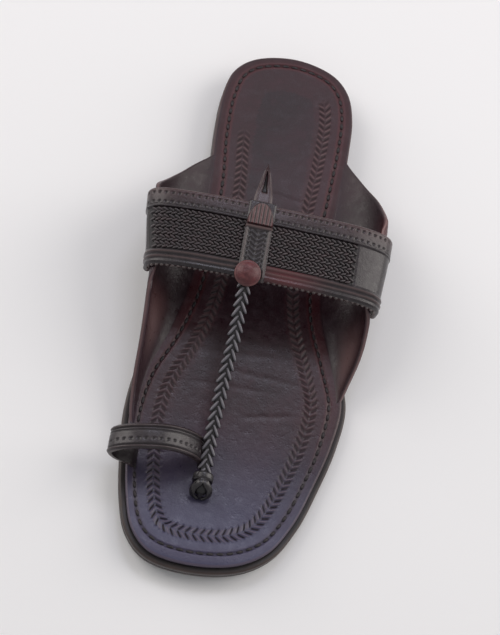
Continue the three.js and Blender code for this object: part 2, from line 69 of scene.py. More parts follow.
Table = Sequence[tuple[float, float]]
Place = Callable[[int, int], Vector]
Route = Sequence[tuple[float, float, float]]
# Dent, raw edge and red dye, which also carry painted shade, painted highlights and painted warm shade
WearAndPaintedLight = tuple[float, float, float]
Paint = Callable[[int, int], WearAndPaintedLight]
Finish = bpy.types.Material
Tree = bpy.types.NodeTree
Socket = bpy.types.NodeSocket


class Side(Enum):
    """The two sides of the left foot."""

    INNER = 1
    OUTER = -1


class Width(Enum):
    """Widths of the sole that its outline is given in shares of."""

    HEEL = "heel"
    WAIST = "waist"
    BALL = "ball"


class Row(Enum):
    """Kinds of rows in the rim band of the top sole, from its side inwards."""

    SIDE = "side"
    MARGIN = "margin"
    SEAM = "seam"
    BETWEEN = "between"
    PUNCH = "punch"
    LIMIT = "limit"


def linear(hex_colour: str) -> tuple[float, float, float, float]:
    """Turn an sRGB hex colour into the linear values that a shader takes.

    Args:
        hex_colour: Six hex digits, with or without a leading hash.

    Returns:
        Red, green, blue and an alpha of one.
    """
    digits = hex_colour.lstrip("#")
    channels = [int(digits[k : k + 2], 16) / 255 for k in (0, 2, 4)]
    values = [c / 12.92 if c <= 0.04045 else ((c + 0.055) / 1.055) ** 2.4 for c in channels]
    return (values[0], values[1], values[2], 1.0)


def smooth(low: float, high: float, value: float) -> float:
    """Ease from 0 at low to 1 at high.

    Args:
        low: Where the ramp starts.
        high: Where the ramp ends.
        value: The place on it.

    Returns:
        The eased share.
    """
    t = min(1.0, max(0.0, (value - low) / (high - low)))
    return t * t * (3 - 2 * t)


def ridge(distance: float, half: float) -> float:
    """A soft bump: 1 at distance 0, 0 from half on."""
    return 1 - smooth(0.0, half, abs(distance))


def lines(rows: Route, place: float) -> float:
    """Height of a table's ridges and grooves, each with its place, half width and height."""
    return sum(high * ridge(place - at, half) for at, half, high in rows)


def mix(a: float, b: float, share: float) -> float:
    """Value between a and b."""
    return a + (b - a) * share


def between(places: Sequence[float], values: Sequence[float], place: float) -> float:
    """Read values against rising places, straight from one to the next and on past both ends.

    Args:
        places: The places.
        values: The value at each of them.
        place: The place to read.

    Returns:
        The value there.
    """
    index = min(max(bisect.bisect_left(places, place), 1), len(places) - 1)
    low, high = places[index - 1], places[index]
    return mix(values[index - 1], values[index], (place - low) / ((high - low) or 1.0))


def face_of(column: int, counts: Sequence[int]) -> tuple[int, float]:
    """Find the face of a strap's section that a corner lies on: 0 the top, 1 a side, 2 below, 3 a side.

    Args:
        column: Number of the corner around.
        counts: How many steps each face has.

    Returns:
        The face, and the share along it; a corner between two faces is on the top or below.
    """
    column %= sum(counts)
    face = 0
    while column > counts[face] or (column == counts[face] and face % 2):
        column -= counts[face]
        face += 1
    return face, column / counts[face]


def heading(way: Vector, climb: float, tilt: float = 0.0) -> Matrix:
    """Turn the first axis along a way seen from above, then up by a climb in radians."""
    return Matrix.Rotation(math.atan2(way.y, way.x) + tilt, 4, "Z") @ Matrix.Rotation(-climb, 4, "Y")


def frame_at(centre: Vector, first: Vector, second: Vector, third: Vector) -> Matrix:
    """Frame with its three axes and its centre."""
    return Matrix.Translation(centre) @ Matrix((first, second, third)).transposed().to_4x4()


def sight(azimuth: float, elevation: float) -> Vector:
    """Unit direction by an azimuth from the toe and an elevation, both in degrees."""
    a, e = math.radians(azimuth), math.radians(elevation)
    return Vector((math.sin(a) * math.cos(e), math.cos(a) * math.cos(e), math.sin(e)))


def table_value(rows: Table, along: float) -> float:
    """Read a table of (place, value) rows as a smooth curve that does not overshoot.

    Args:
        rows: The table, with rising places.
        along: The place to read.

    Returns:
        The value there.
    """
    last = len(rows) - 1
    if along <= rows[0][0]:
        return rows[0][1]
    if along >= rows[last][0]:
        return rows[last][1]
    index = bisect.bisect_right([row[0] for row in rows], along) - 1

    def slope(k: int) -> float:
        """Slope of the curve at row k, flat at a turning point."""
        if k <= 0 or k >= last:
            return 0.0
        before = (rows[k][1] - rows[k - 1][1]) / (rows[k][0] - rows[k - 1][0])
        after = (rows[k + 1][1] - rows[k][1]) / (rows[k + 1][0] - rows[k][0])
        return 0.0 if before * after <= 0 else 2 * before * after / (before + after)

    span = rows[index + 1][0] - rows[index][0]
    t = (along - rows[index][0]) / span
    low, high = rows[index][1], rows[index + 1][1]
    pull = t * (1 - t) * (1 - t) * span * slope(index) + t * t * (t - 1) * span * slope(index + 1)
    return low + (high - low) * t * t * (3 - 2 * t) + pull


class SmoothCurve:
    """A centripetal curve through chosen points, walked by its length."""

    def __init__(self, points: Sequence[Vector], closed: bool = False, samples: int = 40) -> None:
        """Sample the curve.

        Args:
            points: The points that it runs through.
            closed: Whether it returns to the first.
            samples: How many samples each span gets.
        """
        self.points = list(points)
        self.closed = closed
        self.spans = len(self.points) if closed else len(self.points) - 1
        count = self.spans * samples
        self.dense = [self.raw(k / count) for k in range(count + 1)]
        self.lengths = [0.0]
        for a, b in zip(self.dense, self.dense[1:]):
            self.lengths.append(self.lengths[-1] + (b - a).length)
        self.length = self.lengths[-1]

    def raw(self, t: float) -> Vector:
        """Point at a share of the spans, not of the length.

        Args:
            t: Share from 0 to 1.

        Returns:
            The point.
        """
        place = min(t, 1.0) * self.spans
        index = min(int(place), self.spans - 1)
        local = place - index
        count = len(self.points)
        if self.closed:
            p = [self.points[(index + k) % count] for k in (-1, 0, 1, 2)]
        else:
            b, c = self.points[index], self.points[index + 1]
            a = self.points[index - 1] if index > 0 else b * 2 - c
            d = self.points[index + 2] if index + 2 < count else c * 2 - b
            p = [a, b, c, d]
        d0, d1, d2 = (math.sqrt((p[k + 1] - p[k]).length) or 1.0 for k in (0, 1, 2))
        out = (p[1] - p[0]) / d0 - (p[2] - p[0]) / (d0 + d1) + (p[2] - p[1]) / d1
        back = (p[2] - p[1]) / d1 - (p[3] - p[1]) / (d1 + d2) + (p[3] - p[2]) / d2
        out, back = out * d1, back * d1
        square, cube = local * local, local * local * local
        curve = p[1] + out * local + (p[2] * 3 - p[1] * 3 - out * 2 - back) * square
        return curve + (p[1] * 2 - p[2] * 2 + out + back) * cube

    def point(self, share: float) -> Vector:
        """Point at a share of the length."""
        return self.at_length(share * self.length)

    def at_length(self, distance: float) -> Vector:
        """Point at a distance along the curve.

        Args:
            distance: Millimetres from the start.

        Returns:
            The point.
        """
        distance = min(max(distance, 0.0), self.length)
        index = min(max(bisect.bisect_right(self.lengths, distance) - 1, 0), len(self.dense) - 2)
        gap = self.lengths[index + 1] - self.lengths[index]
        return self.dense[index].lerp(self.dense[index + 1], (distance - self.lengths[index]) / gap)

    def direction(self, share: float) -> Vector:
        """Unit direction at a share of the length."""
        step = 0.004
        return (self.point(min(1.0, share + step)) - self.point(max(0.0, share - step))).normalized()


def spaced(ring: Sequence[Vector], pitch: float) -> list[tuple[Vector, Vector]]:
    """Step round a ring at an even pitch.

    Args:
        ring: The ring's points.
        pitch: About how far apart the steps are.

    Returns:
        The place and the unit direction of each step.
    """
    path = SmoothCurve(ring, closed=True, samples=2)
    number = int(path.length / pitch)
    shares = [(k + 0.5) / number for k in range(number)]
    return [(path.point(share), path.direction(share)) for share in shares]


class Bench:
    """Builds one mesh out of bmesh operators and hands it over as a finished piece."""

    shift = Vector((0.0, 0.0, 0.0))

    def __init__(self) -> None:
        """Start an empty mesh with a layer for signs of use and painted light."""
        self.bm = bmesh.new()
        self.wear_and_painted_light = self.bm.verts.layers.float_color.new(WEAR_AND_PAINTED_LIGHT)

    def grid(self, across: int, along: int, place: Place, paint: Paint | None = None) -> None:
        """Lay a flat grid and move each of its corners to its place.

        Args:
            across: Number of faces in the first direction.
            along: Number of faces in the second direction.
            place: Gives the position for a column and a row.
            paint: Gives dent, raw edge and red dye for a column and a row; these also carry painted shade and
                painted highlights.
        """
        verts = bmesh.ops.create_grid(self.bm, x_segments=across, y_segments=along, size=1.0)["verts"]
        for index, vert in enumerate(verts):
            row, column = divmod(index, across + 1)
            vert.co = place(column, row)
            vert[self.wear_and_painted_light] = (*(paint(column, row) if paint else (0.0, 0.0, 0.0)), 1.0)

    def seal(self, distance: float = 0.0005) -> None:
        """Merge corners that meet, fill the holes that are left and turn all faces outwards.

        Args:
            distance: How near corners are to be merged.
        """
        bmesh.ops.remove_doubles(self.bm, verts=self.bm.verts[:], dist=distance)
        open_edges = [edge for edge in self.bm.edges if edge.is_boundary]
        if open_edges:
            bmesh.ops.holes_fill(self.bm, edges=open_edges, sides=0)
        bmesh.ops.recalc_face_normals(self.bm, faces=self.bm.faces[:])

    def sweep(
        self, frames: Sequence[tuple[Vector, Vector, Vector]],
        profile: Callable[[int, int], tuple[float, float]], around: int, paint: Paint | None = None,
    ) -> None:
        """Carry a closed profile along a row of frames.

        Args:
            frames: Centre, across and up at each station.
            profile: Gives across and up distances for a profile corner and a station.
            around: Number of profile corners.
            paint: Dent, raw edge and red dye, with painted shade and highlights, for a profile corner and a
                station.
        """

        def place(column: int, row: int) -> Vector:
            """Corner of the swept surface."""
            centre, across, up = frames[row]
            u, v = profile(column % around, row)
            return centre + across * u + up * v

        def tone(column: int, row: int) -> WearAndPaintedLight:
            """Dent, raw edge and red dye of that corner, painted light included."""
            return paint(column % around, row) if paint else (0.0, 0.0, 0.0)

        self.grid(around, len(frames) - 1, place, tone)

    def seeds(
        self, places: Sequence[Matrix], tones: Sequence[WearAndPaintedLight] = (), segments: tuple[int, int] = (8, 6),
        blunt: float = 1.0, crest: float = 0.0,
    ) -> None:
        """Copy one small round seed, its poles along the first axis, to many places.

        Args:
            places: Where each copy goes, with its half sizes.
            tones: Dent, raw edge and red dye of each copy, or nothing.
            segments: Faces round the seed and from pole to pole.
            blunt: Below one, the ends are blunter than a ball's.
            crest: Painted highlight along the top of each copy, in the raw edge channel.
        """
        seed = bmesh.new()
        seed.verts.layers.float_color.new(WEAR_AND_PAINTED_LIGHT)
        lying = Matrix.Rotation(math.pi / 2, 4, "Y")
        around, along = segments
        bmesh.ops.create_uvsphere(seed, u_segments=around, v_segments=along, radius=1.0, matrix=lying)
        for vert in seed.verts:
            round_off = math.hypot(vert.co.y, vert.co.z)
            if round_off > 0.01:
                vert.co.yz *= round_off ** (blunt - 1)
        mesh = bpy.data.meshes.new("seed")
        seed.to_mesh(mesh)
        seed.free()
        for place, tone in zip(places, tones or [(0.0, 0.0, 0.0)] * len(places)):
            first = len(self.bm.verts)
            self.bm.from_mesh(mesh)
            self.bm.verts.ensure_lookup_table()
            for vert in self.bm.verts[first:]:
                # Painted highlight: the top of each copy is lightened towards the edge colour
                painted_highlight = crest * smooth(0.35, 0.95, vert.co.z)
                vert.co = place @ vert.co
                vert[self.wear_and_painted_light] = (tone[0], max(tone[1], painted_highlight), tone[2], 1.0)
        bpy.data.meshes.remove(mesh)

    def finish(self, name: str, material: Finish, sharp: float = 50.0) -> bpy.types.Object:
        """Move the mesh to the shared frame and make it an object that rides on the sandal.

        Args:
            name: The piece's name.
            material: Its finish.
            sharp: Angle in degrees from which an edge stays sharp.

        Returns:
            The finished object.
        """
        bmesh.ops.translate(self.bm, vec=self.shift, verts=self.bm.verts[:])
        bmesh.ops.scale(self.bm, vec=(METRES, METRES, METRES), verts=self.bm.verts[:])
        mesh = bpy.data.meshes.new(name)
        self.bm.to_mesh(mesh)
        self.bm.free()
        mesh.shade_smooth()
        mesh.set_sharp_from_angle(angle=math.radians(sharp))
        mesh.materials.append(material)
        piece = bpy.data.objects.new(name, mesh)
        bpy.context.scene.collection.objects.link(piece)
        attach(piece, "root")
        return piece


def new_material(name: str) -> tuple[Finish, Tree, bpy.types.Node]:
    """Start a node material.

    Args:
        name: Its name.

    Returns:
        The material, its node tree and its shader.
    """
    made = bpy.data.materials.new(name)
    made.use_nodes = True
    return made, made.node_tree, made.node_tree.nodes["Principled BSDF"]


def add_node(
    tree: Tree, kind: str, settings: dict[str, object] | None = None, **links: object
) -> bpy.types.Node:
    """Add a shader node with its settings and links.

    Args:
        tree: The material's node tree.
        kind: The node's type name.
        settings: Properties of the node, or input values by socket name or number.
        links: Output sockets by input name, with underscores for spaces, or in0, in1 by number.

    Returns:
        The node.
    """
    node = tree.nodes.new(kind)
    for key, value in (settings or {}).items():
        if isinstance(key, str) and hasattr(node, key):
            setattr(node, key, value)
        else:
            node.inputs[key].default_value = value
    for key, socket in links.items():
        slot = int(key[2:]) if key[:2] == "in" and key[2:].isdigit() else key.replace("_", " ")
        tree.links.new(socket, node.inputs[slot])
    return node


def noise(tree: Tree, place: Socket, scale: float, detail: float, roughness: float) -> Socket:
    """Add a noise texture and give its value."""
    settings = {"Scale": scale, "Detail": detail, "Roughness": roughness}
    return add_node(tree, "ShaderNodeTexNoise", settings, Vector=place).outputs[0]


def blend(tree: Tree, share: Socket, first: Socket | str, second: str) -> Socket:
    """Mix two colours.

    Args:
        tree: The material's node tree.
        share: How much of the second colour.
        first: The first colour, as a socket or as an sRGB hex colour.
        second: The second colour, as an sRGB hex colour.

    Returns:
        The mixed colour.
    """
    settings: dict = {"data_type": "RGBA", 7: linear(second)}
    links = {"in0": share}
    if isinstance(first, str):
        settings[6] = linear(first)
    else:
        links["in6"] = first
    return add_node(tree, "ShaderNodeMix", settings, **links).outputs[2]


def remap(
    tree: Tree, value: Socket, span: tuple[float, float], result: tuple[float, float],
    ease: str = "LINEAR",
) -> Socket:
    """Carry a value from one span to another.

    Args:
        tree: The material's node tree.
        value: The value.
        span: Where it starts and ends.
        result: What it becomes at the start and the end of the span.
        ease: How it goes from one to the other.

    Returns:
        The new value.
    """
    settings = {"interpolation_type": ease, "From Min": span[0], "From Max": span[1]}
    settings |= {"To Min": result[0], "To Max": result[1]}
    return add_node(tree, "ShaderNodeMapRange", settings, Value=value).outputs[0]


def bump(tree: Tree, height: Socket, strength: float, depth: float, **below: Socket) -> Socket:
    """Add a bump of a depth in metres, over another one if its Normal is given."""
    settings = {"Strength": strength, "Distance": depth}
    return add_node(tree, "ShaderNodeBump", settings, Height=height, **below).outputs[0]


@dataclass(frozen=True)
class Leather:
    """Vegetable-tanned leather, dyed and oiled, darkened in dents and painted shade and lightened on raw
    edges and painted highlights.
    """

    name: str
    base: str
    deep: str
    worn: str
    edge: str = "#8a5f4c"
    red: str = "#5a2226"
    # Painted sheen: a cool colour blended in towards the toe, from one place along to another, up to a share
    painted_toe_sheen: str = "#45404c"
    painted_toe_sheen_from: float = 0.02
    painted_toe_sheen_to: float = 0.11
    painted_toe_sheen_share: float = 0.0
    heel_dull: float = 0.0
    heel_from: float = -0.09
    heel_to: float = 0.01
    dent_dull: float = 0.3
    ior: float = 1.46
    roughness: tuple[float, float] = (0.36, 0.56)
    coat: float = 0.25
    coat_roughness: float = 0.28
    patch_mm: float = 34.0
    mottle_mm: float = 5.0
    grain_mm: float = 1.3
    fibre_mm: tuple[float, float, float] = (2.2, 2.2, 2.2)
    bump: float = 0.22

    def material(self) -> Finish:
        """Make the node material.

        Returns:
            The finish, ready for a mesh.
        """
        made, tree, shader = new_material(self.name)
        place = add_node(tree, "ShaderNodeTexCoord").outputs["Object"]
        along = add_node(tree, "ShaderNodeSeparateXYZ", None, in0=place).outputs["Y"]
        patch = noise(tree, place, 1 / (self.patch_mm * METRES), 3.0, 0.55)
        mottle = noise(tree, place, 1 / (self.mottle_mm * METRES), 5.0, 0.62)
        scale = {"Scale": tuple(1 / (size * METRES) for size in self.fibre_mm)}
        stretched = add_node(tree, "ShaderNodeMapping", scale, Vector=place).outputs[0]
        fibre = noise(tree, stretched, 1.0, 4.0, 0.7)
        # Pores and creases of the hide, drawn about twice as coarse as they are so that they show
        pattern = {"feature": "DISTANCE_TO_EDGE", "Scale": 1 / (self.grain_mm * METRES), "Randomness": 1.0}
        grain = add_node(tree, "ShaderNodeTexVoronoi", pattern, Vector=place).outputs["Distance"]
        wear_and_painted_light = add_node(tree, "ShaderNodeAttribute", {"attribute_name": WEAR_AND_PAINTED_LIGHT}).outputs["Color"]
        parts = add_node(tree, "ShaderNodeSeparateColor", None, Color=wear_and_painted_light).outputs
        tone = self._tone(tree, along, patch, mottle, fibre)
        # Red darkens towards deep (dents and painted shade), Green lightens towards edge (raw edges and
        # painted highlights), Blue adds red (dye and painted warm shade)
        for part, colour in (("Blue", self.red), ("Red", self.deep), ("Green", self.edge)):
            tone = blend(tree, parts[part], tone, colour)
        tree.links.new(tone, shader.inputs["Base Color"])
        rough = remap(tree, mottle, (0.3, 0.7), self.roughness)
        # Dents are duller than the face, and so is the heel of a worn sole
        dull = {"operation": "MULTIPLY_ADD", 1: self.dent_dull}
        rough = add_node(tree, "ShaderNodeMath", dull, in0=parts["Red"], in2=rough).outputs[0]
        heel = remap(tree, along, (self.heel_from, self.heel_to), (self.heel_dull, 0.0))
        rough = add_node(tree, "ShaderNodeMath", {"operation": "ADD"}, in0=rough, in1=heel).outputs[0]
        tree.links.new(rough, shader.inputs["Roughness"])
        values = {"IOR": self.ior, "Coat Weight": self.coat, "Coat Roughness": self.coat_roughness}
        for key, value in values.items():
            shader.inputs[key].default_value = value
        face = bump(tree, grain, self.bump, 0.00025)
        face = bump(tree, fibre, self.bump * 1.6, 0.0004, Normal=face)
        face = bump(tree, mottle, 0.26, 0.0009, Normal=face)
        tree.links.new(face, shader.inputs["Normal"])
        return made

    def _tone(
        self, tree: Tree, along: Socket, patch: Socket, mottle: Socket, fibre: Socket
    ) -> Socket:
        """Mix the dye: patches and mottling, then a painted cool sheen towards the toe.

        Args:
            tree: The material's node tree.
            along: Distance along the sandal.
            patch: Large noise.
            mottle: Middle noise.
            fibre: Fine noise.

        Returns:
            The colour.
        """
        tone = blend(tree, remap(tree, patch, (0.36, 0.66), (0.0, 0.7)), self.base, self.deep)
        tone = blend(tree, remap(tree, mottle, (0.5, 0.78), (0.0, 0.55)), tone, self.worn)
        tone = blend(tree, remap(tree, fibre, (0.58, 0.8), (0.0, 0.4)), tone, self.worn)
        # Painted sheen: the cool colour blended in towards the toe
        painted_toe_sheen = remap(tree, along, (self.painted_toe_sheen_from, self.painted_toe_sheen_to), (0.0, self.painted_toe_sheen_share), "SMOOTHSTEP")
        return blend(tree, painted_toe_sheen, tone, self.painted_toe_sheen)


@dataclass(frozen=True)
class Thread:
    """Waxed cotton thread, twisted: dull and almost black, with a fine ply that catches a little light."""

    name: str = "waxed_cotton_thread_twisted"
    dark: str = "#120e11"
    light: str = "#2b2428"
    twist_mm: float = 0.9

    def material(self) -> Finish:
        """Make the node material.

        Returns:
            The finish, ready for a mesh.
        """
        made, tree, shader = new_material(self.name)
        place = add_node(tree, "ShaderNodeTexCoord").outputs["Object"]
        pitch = 1 / (self.twist_mm * METRES * 2 * math.pi)
        twist = {"bands_direction": "DIAGONAL", "Scale": pitch, "Distortion": 0.5}
        ply = add_node(tree, "ShaderNodeTexWave", twist, Vector=place).outputs[1]
        tree.links.new(blend(tree, ply, self.dark, self.light), shader.inputs["Base Color"])
        shader.inputs["Roughness"].default_value = 0.6
        tree.links.new(bump(tree, ply, 0.4, 0.0002), shader.inputs["Normal"])
        return made


@dataclass(frozen=True)
class Backdrop:
    """Matt white paper sheet, smooth-pressed: it gives the eye only the soft shadow."""

    name: str = "matt_paper_pressed"
    tone: str = "#f2f2f2"

    def material(self) -> Finish:
        """Make the node material.

        Returns:
            The finish, ready for the floor.
        """
        made, _, shader = new_material(self.name)
        shader.inputs["Base Color"].default_value = linear(self.tone)
        shader.inputs["Roughness"].default_value = 0.9
        shader.inputs["Specular IOR Level"].default_value = 0.1
        return made


@dataclass
class Sole:
    """The outline, the side view and the lines inside the edge that every other piece is set out from."""

    length: float = 282.4
    ball_width: float = 104.0
    waist_width: float = 68.0
    heel_width: float = 71.6
    top_thickness: float = 3.0
    out_thickness: float = 6.8
    ledge_width: float = 2.9
    heel_ledge_width: float = 0.3
    heel_lift_height: float = 6.2
    toe_spring: float = 4.5
    seat_gap: float = 0.3
    half_points: int = 600
    deepest_inset: int = 21
    ring_smoothings: int = 10
    heel_tip: tuple[float, float] = (0.0, -0.02)
    toe_tip: tuple[float, float] = (1.0, 0.26)
    # Place along the sole, inner and outer half widths as shares, and which width they are shares of
    outline: tuple[tuple[float, float, float, Width], ...] = (
        (0.018, 0.60, 0.60, Width.HEEL), (0.052, 0.88, 0.86, Width.HEEL), (0.105, 0.985, 0.98, Width.HEEL),
        (0.175, 1.00, 1.00, Width.HEEL), (0.285, 1.01, 1.02, Width.WAIST), (0.395, 1.00, 0.98, Width.WAIST),
        (0.500, 1.05, 1.05, Width.WAIST), (0.590, 0.80, 0.86, Width.BALL), (0.665, 0.95, 0.99, Width.BALL),
        (0.740, 0.99, 0.95, Width.BALL), (0.820, 0.95, 0.835, Width.BALL), (0.897, 0.88, 0.69, Width.BALL),
        (0.955, 0.775, 0.495, Width.BALL), (0.988, 0.60, 0.21, Width.BALL),
    )
    lift_shares: Table = ((0.0, 1.0), (0.26, 1.0), (0.40, 0.62), (0.48, 0.22), (0.55, 0.0), (1.0, 0.0))
    spring_shares: Table = ((0.0, 0.0), (0.80, 0.0), (0.90, 0.32), (1.0, 1.0))
    ledge_shares: Table = ((0.0, 0.0), (0.26, 0.0), (0.40, 0.2), (0.48, 0.5), (0.55, 0.9), (0.80, 1.0))
    # Distance of the stitch line from the edge of the top sole
    inner_seam: Table = (
        (0.0, 5.2), (0.08, 6.0), (0.2, 6.3), (0.3, 7.2), (0.5, 7.2), (0.6, 6.6), (0.7, 5.6), (0.8, 4.4),
        (0.9, 4.2), (0.96, 4.8), (1.0, 6.0),
    )
    outer_seam: Table = (
        (0.0, 5.2), (0.08, 5.6), (0.2, 6.0), (0.35, 6.5), (0.5, 7.0), (0.62, 6.8), (0.72, 5.8),
        (0.8, 5.0), (0.92, 5.2), (1.0, 6.0),
    )
    rings: list[list[Vector]] = field(init=False)
    outward: list[Vector] = field(init=False)
    sides: dict[Side, tuple[list[float], list[float]]] = field(init=False)

    def __post_init__(self) -> None:
        """Work out the edge and the rings inside it."""
        self.rings = [self._edge_ring()]
        self.outward = self._outward(self.rings[0])
        for _ in range(self.deepest_inset):
            last = self.rings[-1]
            out = self._outward(last)
            moved = [point - way for point, way in zip(last, out)]
            for _ in range(self.ring_smoothings):
                after = moved[1:] + moved[:1]
                moved = [moved[k] * 0.5 + (moved[k - 1] + after[k]) * 0.25 for k in range(len(moved))]
            self.rings.append(moved)
        self.sides = {}
        for side in Side:
            half = sorted((p.y, p.x) for p in self.rings[0] if p.x * side.value > 0)
            self.sides[side] = ([row[0] for row in half], [row[1] for row in half])

    @property
    def count(self) -> int:
        """Points around the outline."""
        return 2 * self.half_points

    @property
    def stack(self) -> float:
        """Height of the top sole's surface above the underside."""
        return self.out_thickness + self.seat_gap + self.top_thickness

    def y_at(self, along: float) -> float:
        """Distance along the centre line of a share of the length."""
        return self.length * (along - 0.5)

    def share(self, y: float) -> float:
        """Share of the length of a distance along the centre line."""
        return y / self.length + 0.5

    def _edge_ring(self) -> list[Vector]:
        """Points of the top sole's edge: toe to heel on the inner side, then back on the outer side.

        Returns:
            The ring of points.
        """
        widths = (self.heel_width, self.waist_width, self.ball_width)
        halves = {kind: width / 2 for kind, width in zip(Width, widths)}
        inner = [Vector((i * halves[w], self.y_at(a), 0)) for a, i, _, w in reversed(self.outline)]
        outer = [Vector((-o * halves[w], self.y_at(a), 0)) for a, _, o, w in self.outline]
        toe = Vector((self.toe_tip[1] * halves[Width.BALL], self.y_at(self.toe_tip[0]), 0))
        heel = Vector((self.heel_tip[1] * halves[Width.HEEL], self.y_at(self.heel_tip[0]), 0))
        curve = SmoothCurve([toe, *inner, heel, *outer], closed=True)
        middle = curve.lengths[(len(inner) + 1) * 40]
        spans = ((0.0, middle), (middle, curve.length - middle))
        steps = [k + 0.5 for k in range(self.half_points)]
        half = self.half_points
        return [curve.at_length(low + span * step / half) for low, span in spans for step in steps]

    def _outward(self, ring: Sequence[Vector], reach: int = 4) -> list[Vector]:
        """Unit directions out of a ring.

        Args:
            ring: The points.
            reach: How many points away the neighbours are taken.

        Returns:
            One direction for each point.
        """
        count = len(ring)
        ways = []
        for k in range(count):
            run = (ring[(k + reach) % count] - ring[k - reach]).normalized()
            ways.append(Vector((-run.y, run.x, 0)))
        return ways

    def at(self, k: int, inset: float) -> Vector:
        """Point inside (or, below zero, outside) the edge, without its height.

        Args:
            k: Number of the point around the outline.
            inset: Distance from the edge.

        Returns:
            The point at height zero.
        """
        k %= self.count
        if inset <= 0:
            return self.rings[0][k] - self.outward[k] * inset
        low = min(int(inset), self.deepest_inset - 1)
        return self.rings[low][k].lerp(self.rings[low + 1][k], inset - low)

    def edge(self, y: float, side: Side) -> float:
        """Where the edge lies across at a distance along."""
        ys, xs = self.sides[side]
        return between(ys, xs, min(max(y, ys[0]), ys[-1]))

    def underside(self, y: float) -> float:
        """Height of the outsole's underside.

        Args:
            y: Distance along the centre line.

        Returns:
            The height.
        """
        along = self.share(y)
        lift = (self.heel_lift_height + self.seat_gap) * table_value(self.lift_shares, along)
        return lift + self.toe_spring * table_value(self.spring_shares, along)

    def top(self, y: float) -> float:
        """Height of the top sole's upper face."""
        return self.underside(y) + self.stack

    def ledge(self, y: float) -> float:
        """How far the outsole stands out past the top sole."""
        share = table_value(self.ledge_shares, self.share(y))
        return mix(self.heel_ledge_width, self.ledge_width, share)

    def seam(self, k: int) -> float:
        """Distance of the stitch line from the edge at a point around the outline.

        Args:
            k: Number of the point around the outline.

        Returns:
            The distance.
        """
        point = self.rings[0][k % self.count]
        rows = self.inner_seam if (k % self.count) < self.half_points else self.outer_seam
        return table_value(rows, self.share(point.y))

    def route(self, rows: Route, scale: float = 1.0) -> SmoothCurve:
        """Lead a smooth way over the top sole.

        Args:
            rows: Share of the length, distance across and height above the top sole of each point.
            scale: What the heights are multiplied by.

        Returns:
            The way.
        """
        ys = [self.y_at(along) for along, _, _ in rows]
        return SmoothCurve([Vector((row[1], y, self.top(y) + row[2] * scale)) for row, y in zip(rows, ys)])

    def cap(
        self, bench: Bench, columns: int, ring: Callable[[int], Vector],
        height: Callable[[Vector], float], points: int = 0,
    ) -> None:
        """Close a ring across the sole, from its inner side to its outer side.

        Args:
            bench: The mesh being built.
            columns: Number of faces across.
            ring: Gives the ring's point by its number.
            height: Gives the height of the closed face at a point.
            points: Points along one side of the ring; the sole's own number if it is nought.
        """
        half = points or self.half_points

        def place(column: int, row: int) -> Vector:
            """Corner of the face; its end rows lie on a single edge of the ring."""
            share = column / columns
            if row in (0, half - 1):
                share = round(share)
            point = ring(row).lerp(ring(2 * half - 1 - row), share)
            point.z = height(point)
            return point

        bench.grid(columns, half - 1, place)


@dataclass(frozen=True)
class Crease:
    """A soft trough where the leather has bent, in the sandal's own sizes."""

    x: float
    y: float
    turn: float
    half_length: float
    half_width: float
    depth: float

    def depth_at(self, x: float, y: float) -> float:
        """How far the surface drops at a place.

        Args:
            x: Distance across.
            y: Distance along.

        Returns:
            The drop in millimetres.
        """
        dx, dy = x - self.x, y - self.y
        along = dx * math.cos(self.turn) + dy * math.sin(self.turn)
        off = -dx * math.sin(self.turn) + dy * math.cos(self.turn)
        if abs(along) > self.half_length or abs(off) > 3 * self.half_width:
            return 0.0
        fade = 1 - (along / self.half_length) ** 2
        return self.depth * fade * math.exp(-((off / self.half_width) ** 2))


